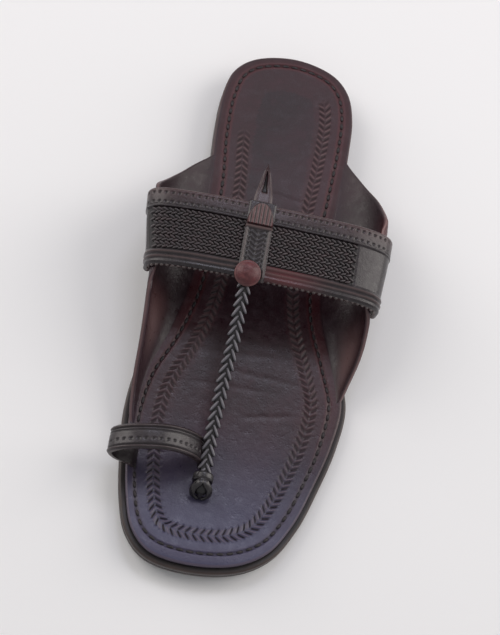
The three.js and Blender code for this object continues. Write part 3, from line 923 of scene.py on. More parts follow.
@dataclass
class TopSole:
    """Top sole: a stitched, punched leather sheet, and the two ears cut from the same leather."""

    sole: Sole
    wall: FootWall
    punch_from_seam: float = 9.0
    # Where the pattern starts along the inner and the outer side
    punch_starts: tuple[float, float] = (-89.0, -123.0)
    punch_half: float = 3.4
    punch_pitch: float = 3.6
    punch_depth: float = 0.7
    punch_stroke: float = 0.5
    punch_lip: float = 0.24
    groove_half: float = 1.15
    groove_depth: float = 0.55
    dish_depth: float = 0.7
    bed_columns: int = 40
    ear_step: float = 0.9
    ear_columns: int = 26
    ear_rim_columns: int = 6
    # Distance across and along, half length across and along, and depth share of each pressed place
    presses: tuple[tuple[float, float, float, float, float], ...] = (
        (0.0, -108.0, 22.0, 26.0, 0.8), (4.0, 62.0, 30.0, 34.0, 1.0), (30.0, 108.0, 9.0, 12.0, 0.6),
    )
    stitch_pitch: float = 4.8
    stitch_length: float = 3.5
    stitch_radius: float = 0.8
    stitch_sink: float = 0.22
    creases: tuple[Crease, ...] = (
        Crease(2.0, 30.0, 0.08, 30.0, 1.9, 0.2), Crease(-8.0, 40.0, -0.05, 28.0, 1.7, 0.16),
        Crease(4.0, 48.0, 0.03, 26.0, 1.5, 0.12), Crease(18.0, 14.0, 0.35, 16.0, 1.6, 0.2),
        Crease(-4.0, -58.0, -0.1, 18.0, 1.5, 0.2), Crease(8.0, -72.0, 0.12, 14.0, 1.2, 0.16),
        Crease(-16.0, 60.0, 0.2, 14.0, 1.4, 0.2),
    )

    def build(self, leather: Finish, thread: Finish) -> None:
        """Make the top sole, the ears and the stitches.

        Args:
            leather: Finish of the sheet.
            thread: Finish of the stitches.
        """
        sheet = self._sheet().finish("top_sole", leather)
        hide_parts("top_sole_with_ears")
        for side in Side:
            piece = self._ear(side).finish(f"{side.name.lower()}_ear", leather)
        stitches = self._stitches().finish("top_sole_stitches", thread)

    def dish(self, x: float, y: float) -> float:
        """Drop of the surface where the foot has pressed it, and its creases.

        Args:
            x: Distance across.
            y: Distance along.

        Returns:
            The drop in millimetres.
        """
        pressed = sum(
            share * math.exp(-(((x - across) / wide) ** 2) - (((y - along) / long) ** 2))
            for across, along, wide, long, share in self.presses
        )
        return self.dish_depth * pressed + sum(crease.depth_at(x, y) for crease in self.creases)

    def _punch(self, walk: float, off: float) -> tuple[float, float]:
        """Punched leaf pattern: strokes, and the lips that the punch pushes up beside them.

        Args:
            walk: Distance walked along the pattern.
            off: Distance from its centre line.

        Returns:
            Depth share of the stroke and height share of the lip.
        """
        reach = abs(off)
        if reach > self.punch_half:
            return 0.0, 0.0
        phase = (walk + reach * 0.8) % self.punch_pitch - self.punch_pitch / 2
        inside = smooth(0.1, 0.6, reach) * (1 - smooth(self.punch_half - 0.6, self.punch_half, reach))
        lip = ridge(phase - self.punch_pitch / 2, 0.8) + ridge(phase + self.punch_pitch / 2, 0.8)
        return ridge(phase, self.punch_stroke * 1.7) * inside, lip * inside

    def _punch_share(self, k: int) -> float:
        """How deep the pattern is at a point around: deepest at the toe, none round the back of the heel.

        Args:
            k: Number of the point around the outline.

        Returns:
            The share.
        """
        y = self.sole.rings[0][k % self.sole.count].y
        start = self.punch_starts[0 if (k % self.sole.count) < self.sole.half_points else 1]
        return smooth(start - 6, start + 6, y) * mix(0.7, 1.0, smooth(60, 110, y))

    def _sheet(self) -> Bench:
        """Build the sheet of the top sole.

        Returns:
            The mesh being built.
        """
        sole, bench = self.sole, Bench()
        limit = sole.deepest_inset - 0.5
        walks = [0.0]
        for k in range(sole.count):
            middle = sole.seam(k) + self.punch_from_seam
            walks.append(walks[-1] + (sole.at(k + 1, middle) - sole.at(k, middle)).length)
        whole = round(walks[-1] / self.punch_pitch) * self.punch_pitch
        walks = [walk * whole / walks[-1] for walk in walks]
        side_rows = [
            (2.5, -3.0), (0.35, -3.0), (0.0, -2.7), (-0.05, -1.6), (0.0, -0.75), (0.2, -0.3),
            (0.6, -0.07), (1.1, 0.0),
        ]
        groove = [-1.5, -1.1, -0.8, -0.45, -0.15, 0.15, 0.45, 0.8, 1.1, 1.5]
        punch = [self.punch_half * (j / 9 - 1) for j in range(19)]
        rows: list[tuple[Row, float]] = [(Row.SIDE, float(j)) for j in range(len(side_rows))]
        rows += [(Row.MARGIN, 0.33), (Row.MARGIN, 0.66)]
        rows += [(Row.SEAM, value) for value in groove]
        rows += [(Row.BETWEEN, 0.25), (Row.BETWEEN, 0.5), (Row.BETWEEN, 0.75)]
        rows += [(Row.PUNCH, value) for value in punch]
        rows += [(Row.LIMIT, 0.5), (Row.LIMIT, 1.0)]

        def level(k: int, row: int) -> tuple[float, float]:
            """Inset and height above the top face for a point around and a row."""
            kind, value = rows[row]
            seam = sole.seam(k)
            middle = seam + self.punch_from_seam
            if kind is Row.SIDE:
                return side_rows[int(value)]
            if kind is Row.MARGIN:
                return mix(1.1, seam - 1.5, value), 0.0
            if kind is Row.SEAM:
                return seam + value, -self.groove_depth * ridge(value, self.groove_half)
            if kind is Row.BETWEEN:
                return mix(seam + 1.5, middle - self.punch_half, value), 0.0
            if kind is Row.PUNCH:
                deep, lip = self._punch(walks[k % sole.count], value)
                return middle + value, (self.punch_lip * lip - self.punch_depth * deep) * self._punch_share(k)
            return mix(middle + self.punch_half, limit, value), 0.0

        def place(column: int, row: int) -> Vector:
            """Corner of the rim band."""
            inset, rise = level(column % sole.count, row)
            point = sole.at(column, inset)
            drop = 0.0 if rows[row][0] is Row.SIDE else self.dish(point.x, point.y) * smooth(1.0, 6.0, inset)
            return Vector((point.x, point.y, sole.top(point.y) + rise - drop))

        def paint(column: int, row: int) -> WearAndPaintedLight:
            """Dark in the dents, painted shade on the lower side and heel margin, painted highlight on punch
            lips, raw edges.
            """
            kind, value = rows[row]
            rise = level(column % sole.count, row)[1]
            if kind is Row.SIDE:
                # Painted shade on the lower side rows where the top sole meets the outsole; the rounded rows
                # above are lighter, raw edge and painted highlight
                raw = 0.16 if 3 <= value <= 6 else 0.0
                return (0.35 if value < 4 else 0.0, raw, 0.0)
            y = sole.rings[0][column % sole.count].y
            warm = 1 - 0.85 * smooth(10, 100, y)
            if kind is Row.SEAM:
                return (0.45 * ridge(value, 1.3), 0.0, 0.4 * warm)
            red = (0.3 if kind is Row.MARGIN else 0.1) * warm
            # Painted shade round the heel margin
            painted_heel_shade = 0.35 * (1 - smooth(-60, -20, y)) if kind is Row.MARGIN else 0.0
            # Painted highlight on the lips beside the punched strokes
            painted_lip_highlight = mix(1.7, 0.8, smooth(-20, 50, y)) * max(0.0, rise)
            return (min(1.0, max(painted_heel_shade, -1.25 * rise / self.punch_depth)), painted_lip_highlight, red)

        bench.grid(sole.count, len(rows) - 1, place, paint)

        foot, below = side_rows[0]
        bed = self.bed_columns
        sole.cap(bench, bed, lambda k: sole.at(k, limit), lambda p: sole.top(p.y) - self.dish(p.x, p.y))
        sole.cap(bench, 2, lambda k: sole.at(k, foot), lambda p: sole.top(p.y) + below)
        bench.seal(0.004)
        return bench

    def _ear(self, side: Side) -> Bench:
        """Build one ear as a closed sheet, from its root in the sole up to its rim.

        Args:
            side: Which side of the foot.

        Returns:
            The mesh being built.
        """
        wall, bench = self.wall, Bench()
        rows = wall.inner_rim if side is Side.INNER else wall.outer_rim
        start, end = wall.sole.y_at(rows[0][0]), wall.sole.y_at(rows[-1][0])
        along = int((end - start) / self.ear_step)
        across, rim_steps = self.ear_columns, self.ear_rim_columns
        thickness = wall.ear_thickness
        around = 2 * across + rim_steps

        def station(row: int) -> tuple[float, float]:
            """Distance along and height share of the rim."""
            share = row / along
            y = mix(start, end, share)
            return y, 0.5 * max(table_value(rows, wall.sole.share(y)), 0.012)

        def place(column: int, row: int) -> Vector:
            """Corner of the sheet: up the inner face, over the rim and down the outer face."""
            y, rim = station(row)
            column %= around
            if column <= across:
                turn, distance = 1 - rim * column / across, 0.0
            elif column < across + rim_steps:
                angle = math.pi * (column - across) / rim_steps
                spread = thickness / 2 * math.sin(angle) * 0.5
                turn = 1 - rim - spread / 60 * min(1.0, rim * 12)
                distance = thickness / 2 * (1 - math.cos(angle))
            else:
                turn = 1 - rim * (around - column) / across
                distance = thickness
            point = wall.offset(y, side.value * turn, distance)
            point.x += side.value * 0.5 * math.sin(y / 9.0 + side.value) * (1 - turn) * smooth(0.0, 0.2, rim)
            return point

        def paint(column: int, row: int) -> WearAndPaintedLight:
            """Raw leather on the cut rim, more copper behind the band on the outer side; painted sheen on the
            inner faces and painted warm shade low on the inner ear.
            """
            y = station(row)[0]
            column %= around
            on_rim = ridge(column - across - rim_steps * 0.6, 2.0)
            strength = 0.42
            if side is Side.OUTER:
                strength += 0.25 * smooth(10, 30, y) + 0.75 * ridge(y - wall.rear_edge + 2, 16)
            near = smooth(0.0, 1.0, 1 - abs(column - across - rim_steps / 2) / (across * 0.45))
            copper = 0.8 * near * ridge(y - wall.rear_edge, 20) if side is Side.OUTER else 0.0
            # Painted warm shade on the inner ear's inner face, just in front of the band
            foot = 0.0
            if side is Side.INNER:
                foot = 0.35 * ridge(column / across - 0.6, 0.4) * ridge(y - 14, 14)
            # Painted sheen on the inner faces of both ears, in the edge colour
            sheen = 0.55 * ridge(y - 24, 26) * ridge(column / across - 0.66, 0.42)
            return (0.0, max(sheen, on_rim * min(1.0, strength)), max(copper, foot))

        bench.grid(around, along, place, paint)
        bench.seal()
        return bench

    def _stitches(self) -> Bench:
        """Lay the thread stitches in their groove.

        Returns:
            The mesh being built.
        """
        sole, bench = self.sole, Bench()
        hand = random.Random(11)
        ring = [sole.at(k, sole.seam(k)) for k in range(sole.count)]
        places = []
        for centre, way in spaced(ring, self.stitch_pitch):
            tilt = hand.uniform(-0.05, 0.05)
            length = self.stitch_length * hand.uniform(0.92, 1.05)
            centre.z = sole.top(centre.y) - self.dish(centre.x, centre.y) - self.stitch_sink
            slope = (sole.top(centre.y + way.y) - sole.top(centre.y - way.y)) / 2
            shape = Matrix.Diagonal((length / 2, self.stitch_radius, self.stitch_radius * 0.75, 1.0))
            places.append(Matrix.Translation(centre) @ heading(way, math.atan(slope), tilt) @ shape)
        bench.seeds(places)
        return bench


@dataclass
class FootWall:
    """The wall over the foot that the ears, the band and the strap all follow."""

    sole: Sole
    inner_reach: float = 60.0
    outer_reach: float = 55.5
    inner_shoulder: float = 27.0
    outer_shoulder: float = 22.5
    instep_rise: float = 32.5
    fullness: float = 2.6
    crest: float = 14.0
    ear_thickness: float = 2.4
    root_inset: float = 4.0
    flat_share: float = 0.42
    steep_share: float = 0.36
    root_depth: float = 0.35
    band_centre: float = 0.451
    band_width: float = 38.1
    band_skew: float = 0.4
    band_thickness: float = 2.4
    inner_section: Table = (
        (0.18, 0.80), (0.29, 0.92), (0.375, 0.97), (0.52, 0.885), (0.62, 0.875), (0.71, 0.88),
        (0.79, 0.88),
    )
    outer_section: Table = (
        (0.18, 0.87), (0.29, 0.97), (0.375, 1.00), (0.52, 0.965), (0.62, 0.985), (0.71, 0.98),
        (0.79, 0.93),
    )
    inner_rim: Table = (
        (0.225, 0.0), (0.24, 0.13), (0.266, 0.33), (0.301, 0.53), (0.336, 0.75), (0.366, 0.98),
        (0.40, 1.16), (0.52, 1.16), (0.547, 1.03), (0.613, 0.84), (0.677, 0.60), (0.713, 0.46),
        (0.755, 0.29), (0.796, 0.0),
    )
    outer_rim: Table = (
        (0.178, 0.0), (0.195, 0.12), (0.23, 0.38), (0.26, 0.57), (0.287, 0.74), (0.316, 0.89),
        (0.344, 1.03), (0.368, 1.14), (0.40, 1.16), (0.51, 1.16), (0.537, 1.02), (0.571, 0.87),
        (0.596, 0.73), (0.617, 0.58), (0.652, 0.28), (0.68, 0.0),
    )
    face_step: float = 0.002

    @property
    def rear_edge(self) -> float:
        """Distance along of the band's rear edge at the crest."""
        return self.sole.y_at(self.band_centre) - self.band_width / 2

    @property
    def band_offset(self) -> float:
        """Distance of the band's inner face from the wall."""
        return self.ear_thickness + self.sole.seat_gap

    def reach(self, y: float, side: Side) -> float:
        """How far across the shoulder lies.

        Args:
            y: Distance along the centre line.
            side: Which side.

        Returns:
            The distance across.
        """
        along = self.sole.share(y)
        if side is Side.INNER:
            return self.inner_reach * table_value(self.inner_section, along)
        return -self.outer_reach * table_value(self.outer_section, along)

    def point(self, y: float, turn: float) -> Vector:
        """Point of the wall: turn is 0 on the crest, 0.5 at a shoulder and 1 at a root.

        Args:
            y: Distance along the centre line.
            turn: Share of the way down, above zero on the inner side.

        Returns:
            The point.
        """
        side = Side.OUTER if turn < 0 else Side.INNER
        share = abs(turn)
        base = self.sole.top(y) - self.root_depth
        reach = self.reach(y, side)
        rise = self.inner_shoulder if side is Side.INNER else self.outer_shoulder
        if share <= 0.5:
            angle = share * math.pi
            power = 2 / self.fullness
            x = self.crest + (reach - self.crest) * math.sin(angle) ** power
            z = base + rise + (self.instep_rise - rise) * max(0.0, math.cos(angle)) ** power
            return Vector((x, y, z))
        root = self.sole.edge(y, side) - side.value * self.root_inset
        a = Vector((root, base))
        b = Vector((root + (reach - root) * self.flat_share, base))
        c = Vector((reach, base + rise * self.steep_share))
        d = Vector((reach, base + rise))
        t = 2 - 2 * share
        s = 1 - t
        flat = a * (s * s * s) + b * (3 * s * s * t) + c * (3 * s * t * t) + d * (t * t * t)
        return Vector((flat.x, y, flat.y))

    def normal(self, y: float, turn: float) -> Vector:
        """Unit direction away from the foot, square to the line along.

        Args:
            y: Distance along the centre line.
            turn: Share of the way down, above zero on the inner side.

        Returns:
            The direction.
        """
        low = max(-1.0, turn - self.face_step)
        high = min(1.0, turn + self.face_step)
        run = (self.point(y, high) - self.point(y, low)).normalized()
        return Vector((-run.z, 0.0, run.x))

    def offset(self, y: float, turn: float, distance: float) -> Vector:
        """Point of the wall moved away from the foot."""
        return self.point(y, turn) + self.normal(y, turn) * distance

    def turn_at(self, across: float, y: float) -> float:
        """Turn at which the wall lies a given distance across.

        Args:
            across: Distance across.
            y: Distance along.

        Returns:
            The turn.
        """
        side = Side.OUTER if across < self.crest else Side.INNER
        share = (across - self.crest) / (self.reach(y, side) - self.crest)
        return side.value * math.asin(max(0.0, share) ** (self.fullness / 2)) / math.pi

    def band_y(self, at: float, turn: float) -> float:
        """Distance along of a place on the band, counted from its rear edge."""
        return self.rear_edge + at + self.band_skew * math.sin(turn * math.pi)


@dataclass
class InstepBand:
    """Instep band: a rear strip with dots, rows of fine plait, a ridged front strip and a beaded hem."""

    wall: FootWall
    rear_strip: float = 10.0
    front_strip: float = 7.7
    plait_rows: int = 6
    plait_pitch: float = 3.4
    strip_rise: float = 0.8
    bed_depth: float = 0.35
    plain_rise: float = 0.45
    edge_drop: float = 0.55
    edge_round: float = 0.8
    edge_bulge: float = 0.5
    # Place, half width and height of the ridges and grooves of the two strips
    rear_lines: Route = ((-1.2, 0.45, -0.3), (-0.5, 0.5, 0.18))
    front_lines: Route = ((1.7, 0.75, 0.4), (4.3, 0.75, 0.4), (3.0, 0.6, -0.3), (5.7, 0.6, -0.25))
    end_turn: float = 0.54
    inner_plait_turn: float = 0.472
    outer_plait_turn: float = 0.272
    outer_plait_slant: float = 0.0007
    dot_rows: tuple[float, float] = (2.5, 7.2)
    dot_pitch: float = 3.1
    dot_radius: float = 0.75
    dot_depth: float = 0.5
    strand_pitch: float = 2.75
    strand_half: tuple[float, float, float] = (1.75, 0.74, 0.62)
    strand_slant: float = 0.48
    strand_off: float = 0.78
    strand_rise: float = 0.12
    strand_lean: float = -0.16
    strand_clear: float = 1.2
    dot_turns: tuple[float, float] = (-0.44, 0.5)
    bead_turns: tuple[float, float] = (-0.45, 0.5)
    bead_pitch: float = 2.9
    bead_radius: float = 0.85
    walks: list[float] = field(init=False)
    turns: list[float] = field(init=False)

    def __post_init__(self) -> None:
        """Measure the way along the band, from the crest to each end."""
        count = 240
        self.turns = [self.end_turn * (2 * k / count - 1) for k in range(count + 1)]
        points = [self.place(self.wall.band_width / 2, turn, self.wall.band_thickness) for turn in self.turns]
        self.walks = [0.0]
        for a, b in zip(points, points[1:]):
            self.walks.append(self.walks[-1] + (b - a).length)
        middle = self.walks[count // 2]
        self.walks = [walk - middle for walk in self.walks]

    def place(self, at: float, turn: float, height: float) -> Vector:
        """Point of the band.

        Args:
            at: Distance from the rear edge.
            turn: Share of the way from the crest to a root.
            height: Distance above the band's inner face.

        Returns:
            The point.
        """
        turn = max(-0.999, min(0.999, turn))
        return self.wall.offset(self.wall.band_y(at, turn), turn, self.wall.band_offset + height)

    def turn_of(self, walk: float) -> float:
        """Turn at a distance walked from the crest, above zero on the inner side."""
        return between(self.walks, self.turns, walk)

    def walk_of(self, turn: float) -> float:
        """Distance walked from the crest to a turn."""
        return between(self.turns, self.walks, turn)

    def plaited(self, at: float, turn: float) -> float:
        """Share of 1 where the plait lies along the band, easing to 0 past its ends.

        Args:
            at: Distance from the rear edge.
            turn: Share of the way down, above zero on the inner side.

        Returns:
            The share.
        """
        outer = self.outer_plait_turn + self.outer_plait_slant * (at - self.rear_strip)
        return smooth(-outer - 0.006, -outer + 0.006, turn) * (
            1 - smooth(self.inner_plait_turn - 0.004, self.inner_plait_turn + 0.006, turn)
        )

    def dot(self, at: float, walk: float, turn: float) -> float:
        """Depth share of the punched dots.

        Args:
            at: Distance from the rear edge.
            walk: Distance from the crest.
            turn: Share of the way down, above zero on the inner side.

        Returns:
            The share.
        """
        if not self.dot_turns[0] < turn < self.dot_turns[1]:
            return 0.0
        off = (walk % self.dot_pitch) - self.dot_pitch / 2
        near = min(math.hypot(off, at - row) for row in self.dot_rows)
        return 1 - smooth(self.dot_radius * 0.55, self.dot_radius, near)

    def relief(self, at: float, walk: float, turn: float) -> float:
        """Height of the outer face above the plain wall.

        Args:
            at: Distance from the rear edge.
            walk: Distance from the crest.
            turn: Turn of the same place.

        Returns:
            The height in millimetres.
        """
        width = self.wall.band_width
        front = at - (width - self.front_strip)
        strip = 1 - smooth(self.rear_strip - 0.5, self.rear_strip, at) + smooth(0.0, 0.5, front)
        bed = mix(self.plain_rise, -self.bed_depth, self.plaited(at, turn))
        height = strip * self.strip_rise + (1 - strip) * bed
        height -= self.dot_depth * self.dot(at, walk, turn)
        height += lines(self.rear_lines, at - self.rear_strip) + lines(self.front_lines, front)
        edges = 1 - smooth(0.0, self.edge_round, at) + smooth(width - self.edge_round, width, at)
        return height - self.edge_drop * edges + self.wave(at, walk) + 0.12 * math.sin(walk / 5.1 - at / 9.0)

    def wave(self, at: float, walk: float) -> float:
        """Long soft wave of the leather."""
        return 0.22 * math.sin(walk / 13.0 + at / 20.0)

    def build(self, leather: Finish, plait: Finish, hem: Finish) -> None:
        """Make the band, its plait and its beaded hem.

        Args:
            leather: Finish of the band.
            plait: Finish of the fine strands.
            hem: Finish of the beads.
        """
        band = self._band().finish("instep_band", leather)
        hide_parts("upper")
        strands = self._strands().finish("instep_plait", plait)
        beads = self._beads().finish("band_hem", hem)

    def _band(self) -> Bench:
        """Build the band's wall.

        Returns:
            The mesh being built.
        """
        bench = Bench()
        counts, along = (88, 4, 10, 4), 290
        width, thick = self.wall.band_width, self.wall.band_thickness
        start, end = self.walks[0], self.walks[-1]

        def spot(column: int, row: int) -> tuple[float, float, float, float]:
            """Distance across, walk, turn and height of a corner."""
            walk = mix(start, end, row / along)
            turn = self.turn_of(walk)
            face, share = face_of(column, counts)
            if face == 2:
                return width * (1 - share), walk, turn, 0.0
            if face == 0:
                return width * share, walk, turn, thick + self.relief(width * share, walk, turn)
            at, way, level = (width, 1, 1 - share) if face == 1 else (0.0, -1, share)
            height = (thick + self.relief(at, walk, turn)) * level
            return at + way * self.edge_bulge * math.sin(math.pi * level), walk, turn, height

        def place(column: int, row: int) -> Vector:
            """Corner of the wall."""
            at, _, turn, height = spot(column, row)
            return self.place(at, turn, height)

        def paint(column: int, row: int) -> WearAndPaintedLight:
            """Dark in the dots, painted shade under the plait, painted highlights on the ridges, red towards
            the outer front.
            """
            at, walk, turn, height = spot(column, row)
            if height < thick * 0.6:
                return (0.1, 0.3 if 0.05 < height < thick * 0.6 else 0.0, 0.25)
            front = at - (width - self.front_strip)
            dark = max(self.dot(at, walk, turn), 0.35 * ridge(at - self.rear_strip + 1.2, 0.5))
            # Painted shade under the plait, between its strands
            if self.rear_strip < at < width - self.front_strip:
                dark = max(dark, 0.9 * self.plaited(at, turn))
            # Painted highlights on the front strip's ridges and the rear edge
            painted_highlight = 0.5 * max(ridge(front - 1.7, 0.7), ridge(front - 4.3, 0.7)) + 0.2 * ridge(at - 0.7, 0.8)
            red = 0.65 * smooth(-1.5, 1.5, front) * ridge(walk + 24, 26)
            red = max(red, 0.2 * (1 - smooth(0, self.rear_strip, at)))
            return (dark, painted_highlight, red)

        bench.grid(sum(counts), along, place, paint)
        bench.seal()
        return bench

    def _frame(self, at: float, walk: float, height: float) -> Matrix:
        """Frame on the band: first axis along it, second towards its front, third off its face.

        Args:
            at: Distance from the rear edge.
            walk: Distance from the crest.
            height: Distance above the inner face.

        Returns:
            The frame as a matrix.
        """
        turn = self.turn_of(walk)
        way = (self.place(at, turn + 0.004, height) - self.place(at, turn - 0.004, height)).normalized()
        fore = (self.place(at + 0.5, turn, height) - self.place(at - 0.5, turn, height)).normalized()
        up = way.cross(fore).normalized()
        if up.dot(self.wall.normal(self.wall.band_y(at, turn), turn)) < 0:
            up = -up
        return frame_at(self.place(at, turn, height), way, (fore - way * fore.dot(way)).normalized(), up)

    def _strands(self) -> Bench:
        """Lay the fine strands of the plait, two slanting half rows to each row.

        Returns:
            The mesh being built.
        """
        bench = Bench()
        hand = random.Random(5)
        shape = Matrix.Rotation(self.strand_lean, 4, "Y") @ Matrix.Diagonal((*self.strand_half, 1.0))
        thick = self.wall.band_thickness
        places, tones = [], []
        for number in range(self.plait_rows):
            centre = self.rear_strip + (number + 0.5) * self.plait_pitch
            outer = self.outer_plait_turn + self.outer_plait_slant * (centre - self.rear_strip)
            start = self.walk_of(-outer) + self.strand_clear
            end = self.walk_of(self.inner_plait_turn) - self.strand_clear
            for sign in (-1, 1):
                count = int((end - start) / self.strand_pitch)
                for k in range(count):
                    walk = start + (k + 0.25 + 0.25 * sign) * self.strand_pitch + hand.uniform(-0.08, 0.08)
                    at = centre + sign * self.strand_off + hand.uniform(-0.05, 0.05)
                    lift = thick + self.strand_rise + self.wave(at, walk) + hand.uniform(-0.05, 0.05)
                    spin = Matrix.Rotation(sign * self.strand_slant + hand.uniform(-0.05, 0.05), 4, "Z")
                    places.append(self._frame(at, walk, lift) @ spin @ shape)
                    tones.append((hand.uniform(0.0, 0.3), 0.0, hand.uniform(0.0, 0.12)))
        # The strands' tops carry a painted highlight
        bench.seeds(places, tones, blunt=0.75, crest=0.22)
        return bench

    def _beads(self) -> Bench:
        """Set the row of small beads, cut from the hem, under the band's front edge.

        Returns:
            The mesh being built.
        """
        bench = Bench()
        start, end = (self.walk_of(turn) for turn in self.bead_turns)
        count = int((end - start) / self.bead_pitch)
        radius = self.bead_radius
        shape = Matrix.Diagonal((radius * 1.1, radius, radius * 0.8, 1.0))
        at, height = self.wall.band_width + 0.35, self.wall.band_thickness * 0.55
        walks = [start + k * self.bead_pitch for k in range(count + 1)]
        bench.seeds([self._frame(at, walk, height) @ shape for walk in walks], segments=(12, 8))
        return bench


@dataclass
class CentreStrap:
    """Strap over the band: edge ridges, punched lines, a stamped middle and a gathered tab at its rear."""

    band: InstepBand
    width: float = 13.2
    across: float = 7.5
    rise: float = 1.2
    lip: float = 1.4
    seat_share: float = 0.3
    tab_length: float = 12.0
    tab_rise: float = 1.0
    pleat_pitch: float = 1.9
    dot_pitch: float = 2.6
    stamp_pitch: float = 2.5
    stamp_depth: float = 0.45
    # Place, half width and height of the ridge and the groove beside each edge
    edge_lines: Route = ((1.0, 0.7, 0.35), (1.9, 0.45, -0.35))

    def height(self, at: float, off: float) -> tuple[float, float, float, float]:
        """Relief of the strap with its dents, edges and painted light.

        Args:
            at: Distance from the band's rear edge.
            off: Distance from the strap's centre line.

        Returns:
            Height above the band's inner face, dent with painted shade, raw edge with painted highlight, and
            red.
        """
        band, width = self.band, self.band.wall.band_width
        base = band.wall.band_thickness + band.strip_rise + self.rise
        edge = self.width / 2 - abs(off)
        top = base - 0.5 * (1 - smooth(0.0, 0.7, edge))
        top -= (self.rise + 0.6) * (1 - smooth(-self.lip, -0.2, at))
        top -= (self.rise + 0.9) * smooth(width - 0.2, width + self.lip, at)
        in_tab = smooth(0.2, 0.9, at) * (1 - smooth(self.tab_length - 0.5, self.tab_length, at))
        round_off = (off / (self.width / 2)) ** 2 + ((self.tab_length - at) / self.tab_length) ** 2
        arch = 1 - smooth(0.82, 1.0, round_off)
        pleat = 0.5 + 0.5 * math.cos(2 * math.pi * off / self.pleat_pitch)
        hump = in_tab * arch
        top += hump * (self.tab_rise + 0.45 * (pleat - 0.5))
        bar = ridge(at - self.tab_length - 0.9, 1.0)
        top += 0.75 * bar
        body = smooth(self.tab_length + 1.6, self.tab_length + 2.4, at)
        walk = (at % self.dot_pitch) - self.dot_pitch / 2
        punched = 1 - smooth(0.35, 0.75, math.hypot(walk, edge - 2.7))
        reach = abs(off)
        phase = (at + reach * 0.75) % self.stamp_pitch - self.stamp_pitch / 2
        stamp = ridge(phase, 0.75) * (1 - smooth(3.0, 3.5, reach)) * smooth(0.1, 0.4, reach)
        top += body * (lines(self.edge_lines, edge) - self.stamp_depth * (punched + stamp))
        # Painted shade in the troughs of the tab's pleats, with the punched dots and stamps
        dent = max(body * punched, 0.85 * body * stamp, hump * (1 - pleat) * 0.9)
        # Painted highlight on the crossbar and round the tab's arch, and rubbed edge ridges
        raw = 0.8 * bar + 0.3 * body * ridge(edge - 1.0, 0.8) + 0.4 * ridge(round_off - 0.84, 0.13) * in_tab
        return top, dent, min(raw, 0.8), 0.75 * hump

    def build(self, leather: Finish) -> None:
        """Make the strap.

        Args:
            leather: Its finish.
        """
        bench = Bench()
        band = self.band
        wall = band.wall
        counts, along = (54, 2, 4, 2), 92
        seat = wall.band_thickness * self.seat_share
        length = wall.band_width + 2 * self.lip

        def spot(column: int, row: int) -> tuple[float, float, float, WearAndPaintedLight]:
            """Distance along, distance off centre, height, and dent, raw edge and red of a corner."""
            at = -self.lip + length * row / along
            face, share = face_of(column, counts)
            if face == 2:
                return at, self.width * (0.5 - share), seat, (0.2, 0.0, 0.0)
            if face == 0:
                off = self.width * (share - 0.5)
                height, *wear_and_painted_light = self.height(at, off)
                return at, off, height, tuple(wear_and_painted_light)
            way, level = (1, share) if face == 1 else (-1, 1 - share)
            height = self.height(at, way * self.width / 2)[0]
            return at, way * (self.width / 2 + 0.1), mix(height, seat, level), (0.1, 0.4, 0.2)

        def place(column: int, row: int) -> Vector:
            """Corner of the strap."""
            at, off, height, _ = spot(column, row)
            y = wall.band_y(at, 0.0)
            turn = wall.turn_at(self.across + off, y)
            return wall.offset(y, turn, wall.band_offset + height)

        bench.grid(sum(counts), along, place, lambda column, row: spot(column, row)[3])
        bench.seal()
        strap = bench.finish("centre_strap", leather)


@dataclass
class StrapTail:
    """Pointed tail of the strap behind the band, split near its tip."""

    wall: FootWall
    across: float = 7.5
    width: float = 9.6
    thickness: float = 2.0
    gap: float = 0.4
    lap: float = 9.0
    reach: float = 26.0
    drop: float = 5.0
    slit_from: float = 0.30
    slit_to: float = 0.84
    widths: Table = ((-0.4, 1.0), (0.0, 1.0), (0.2, 0.94), (0.5, 0.66), (0.8, 0.34), (1.0, 0.06))

    def build(self, leather: Finish) -> None:
        """Make the tail.

        Args:
            leather: Its finish.
        """
        bench = Bench()
        top, under, rows = 20, 4, 70
        around = top + under
        first = -self.lap / self.reach

        def place(column: int, row: int) -> Vector:
            """Corner of the tail: over its top, then back under it."""
            reach = mix(first, 1.0, row / rows)
            half = self.width / 2 * table_value(self.widths, reach)
            y = self.wall.rear_edge - self.reach * reach
            column %= around
            on_top = column <= top
            share = 2 * column / top - 1 if on_top else 1 - 2 * (column - top) / under
            rise = self.wall.band_offset - self.gap
            rise -= 0.5 * smooth(0.75, 1.0, abs(share)) if on_top else self.thickness
            if on_top:
                rise -= 1.5 * self._slit(share, reach)
                rise += 0.2 * ridge(abs(share) - 0.72, 0.14)
            base = self.wall.offset(y, self.wall.turn_at(self.across, y), rise)
            return Vector((self.across + half * share, y, base.z - self.drop * max(0.0, reach) ** 2))

        def paint(column: int, row: int) -> WearAndPaintedLight:
            """Painted shade in the slit and underneath, a rubbed edge."""
            column %= around
            if column > top:
                return (0.3, 0.0, 0.0)
            share = 2 * column / top - 1
            reach = mix(first, 1.0, row / rows)
            return (self._slit(share, reach), 0.14 * smooth(0.8, 1.0, abs(share)), 0.2)

        bench.grid(around, rows, place, paint)
        bench.seal()
        tail = bench.finish("strap_tail_dressed", leather)
        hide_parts("strap_tail")

    def _slit(self, share: float, reach: float) -> float:
        """Depth share of the split.

        Args:
            share: Share across, from -1 to 1.
            reach: Share of the way to the tip.

        Returns:
            The share.
        """
        inside = smooth(self.slit_from, self.slit_from + 0.05, reach)
        inside *= 1 - smooth(self.slit_to - 0.05, self.slit_to, reach)
        half = mix(0.34, 0.16, (reach - self.slit_from) / (self.slit_to - self.slit_from))
        return inside * (1 - smooth(half - 0.12, half + 0.05, abs(share)))


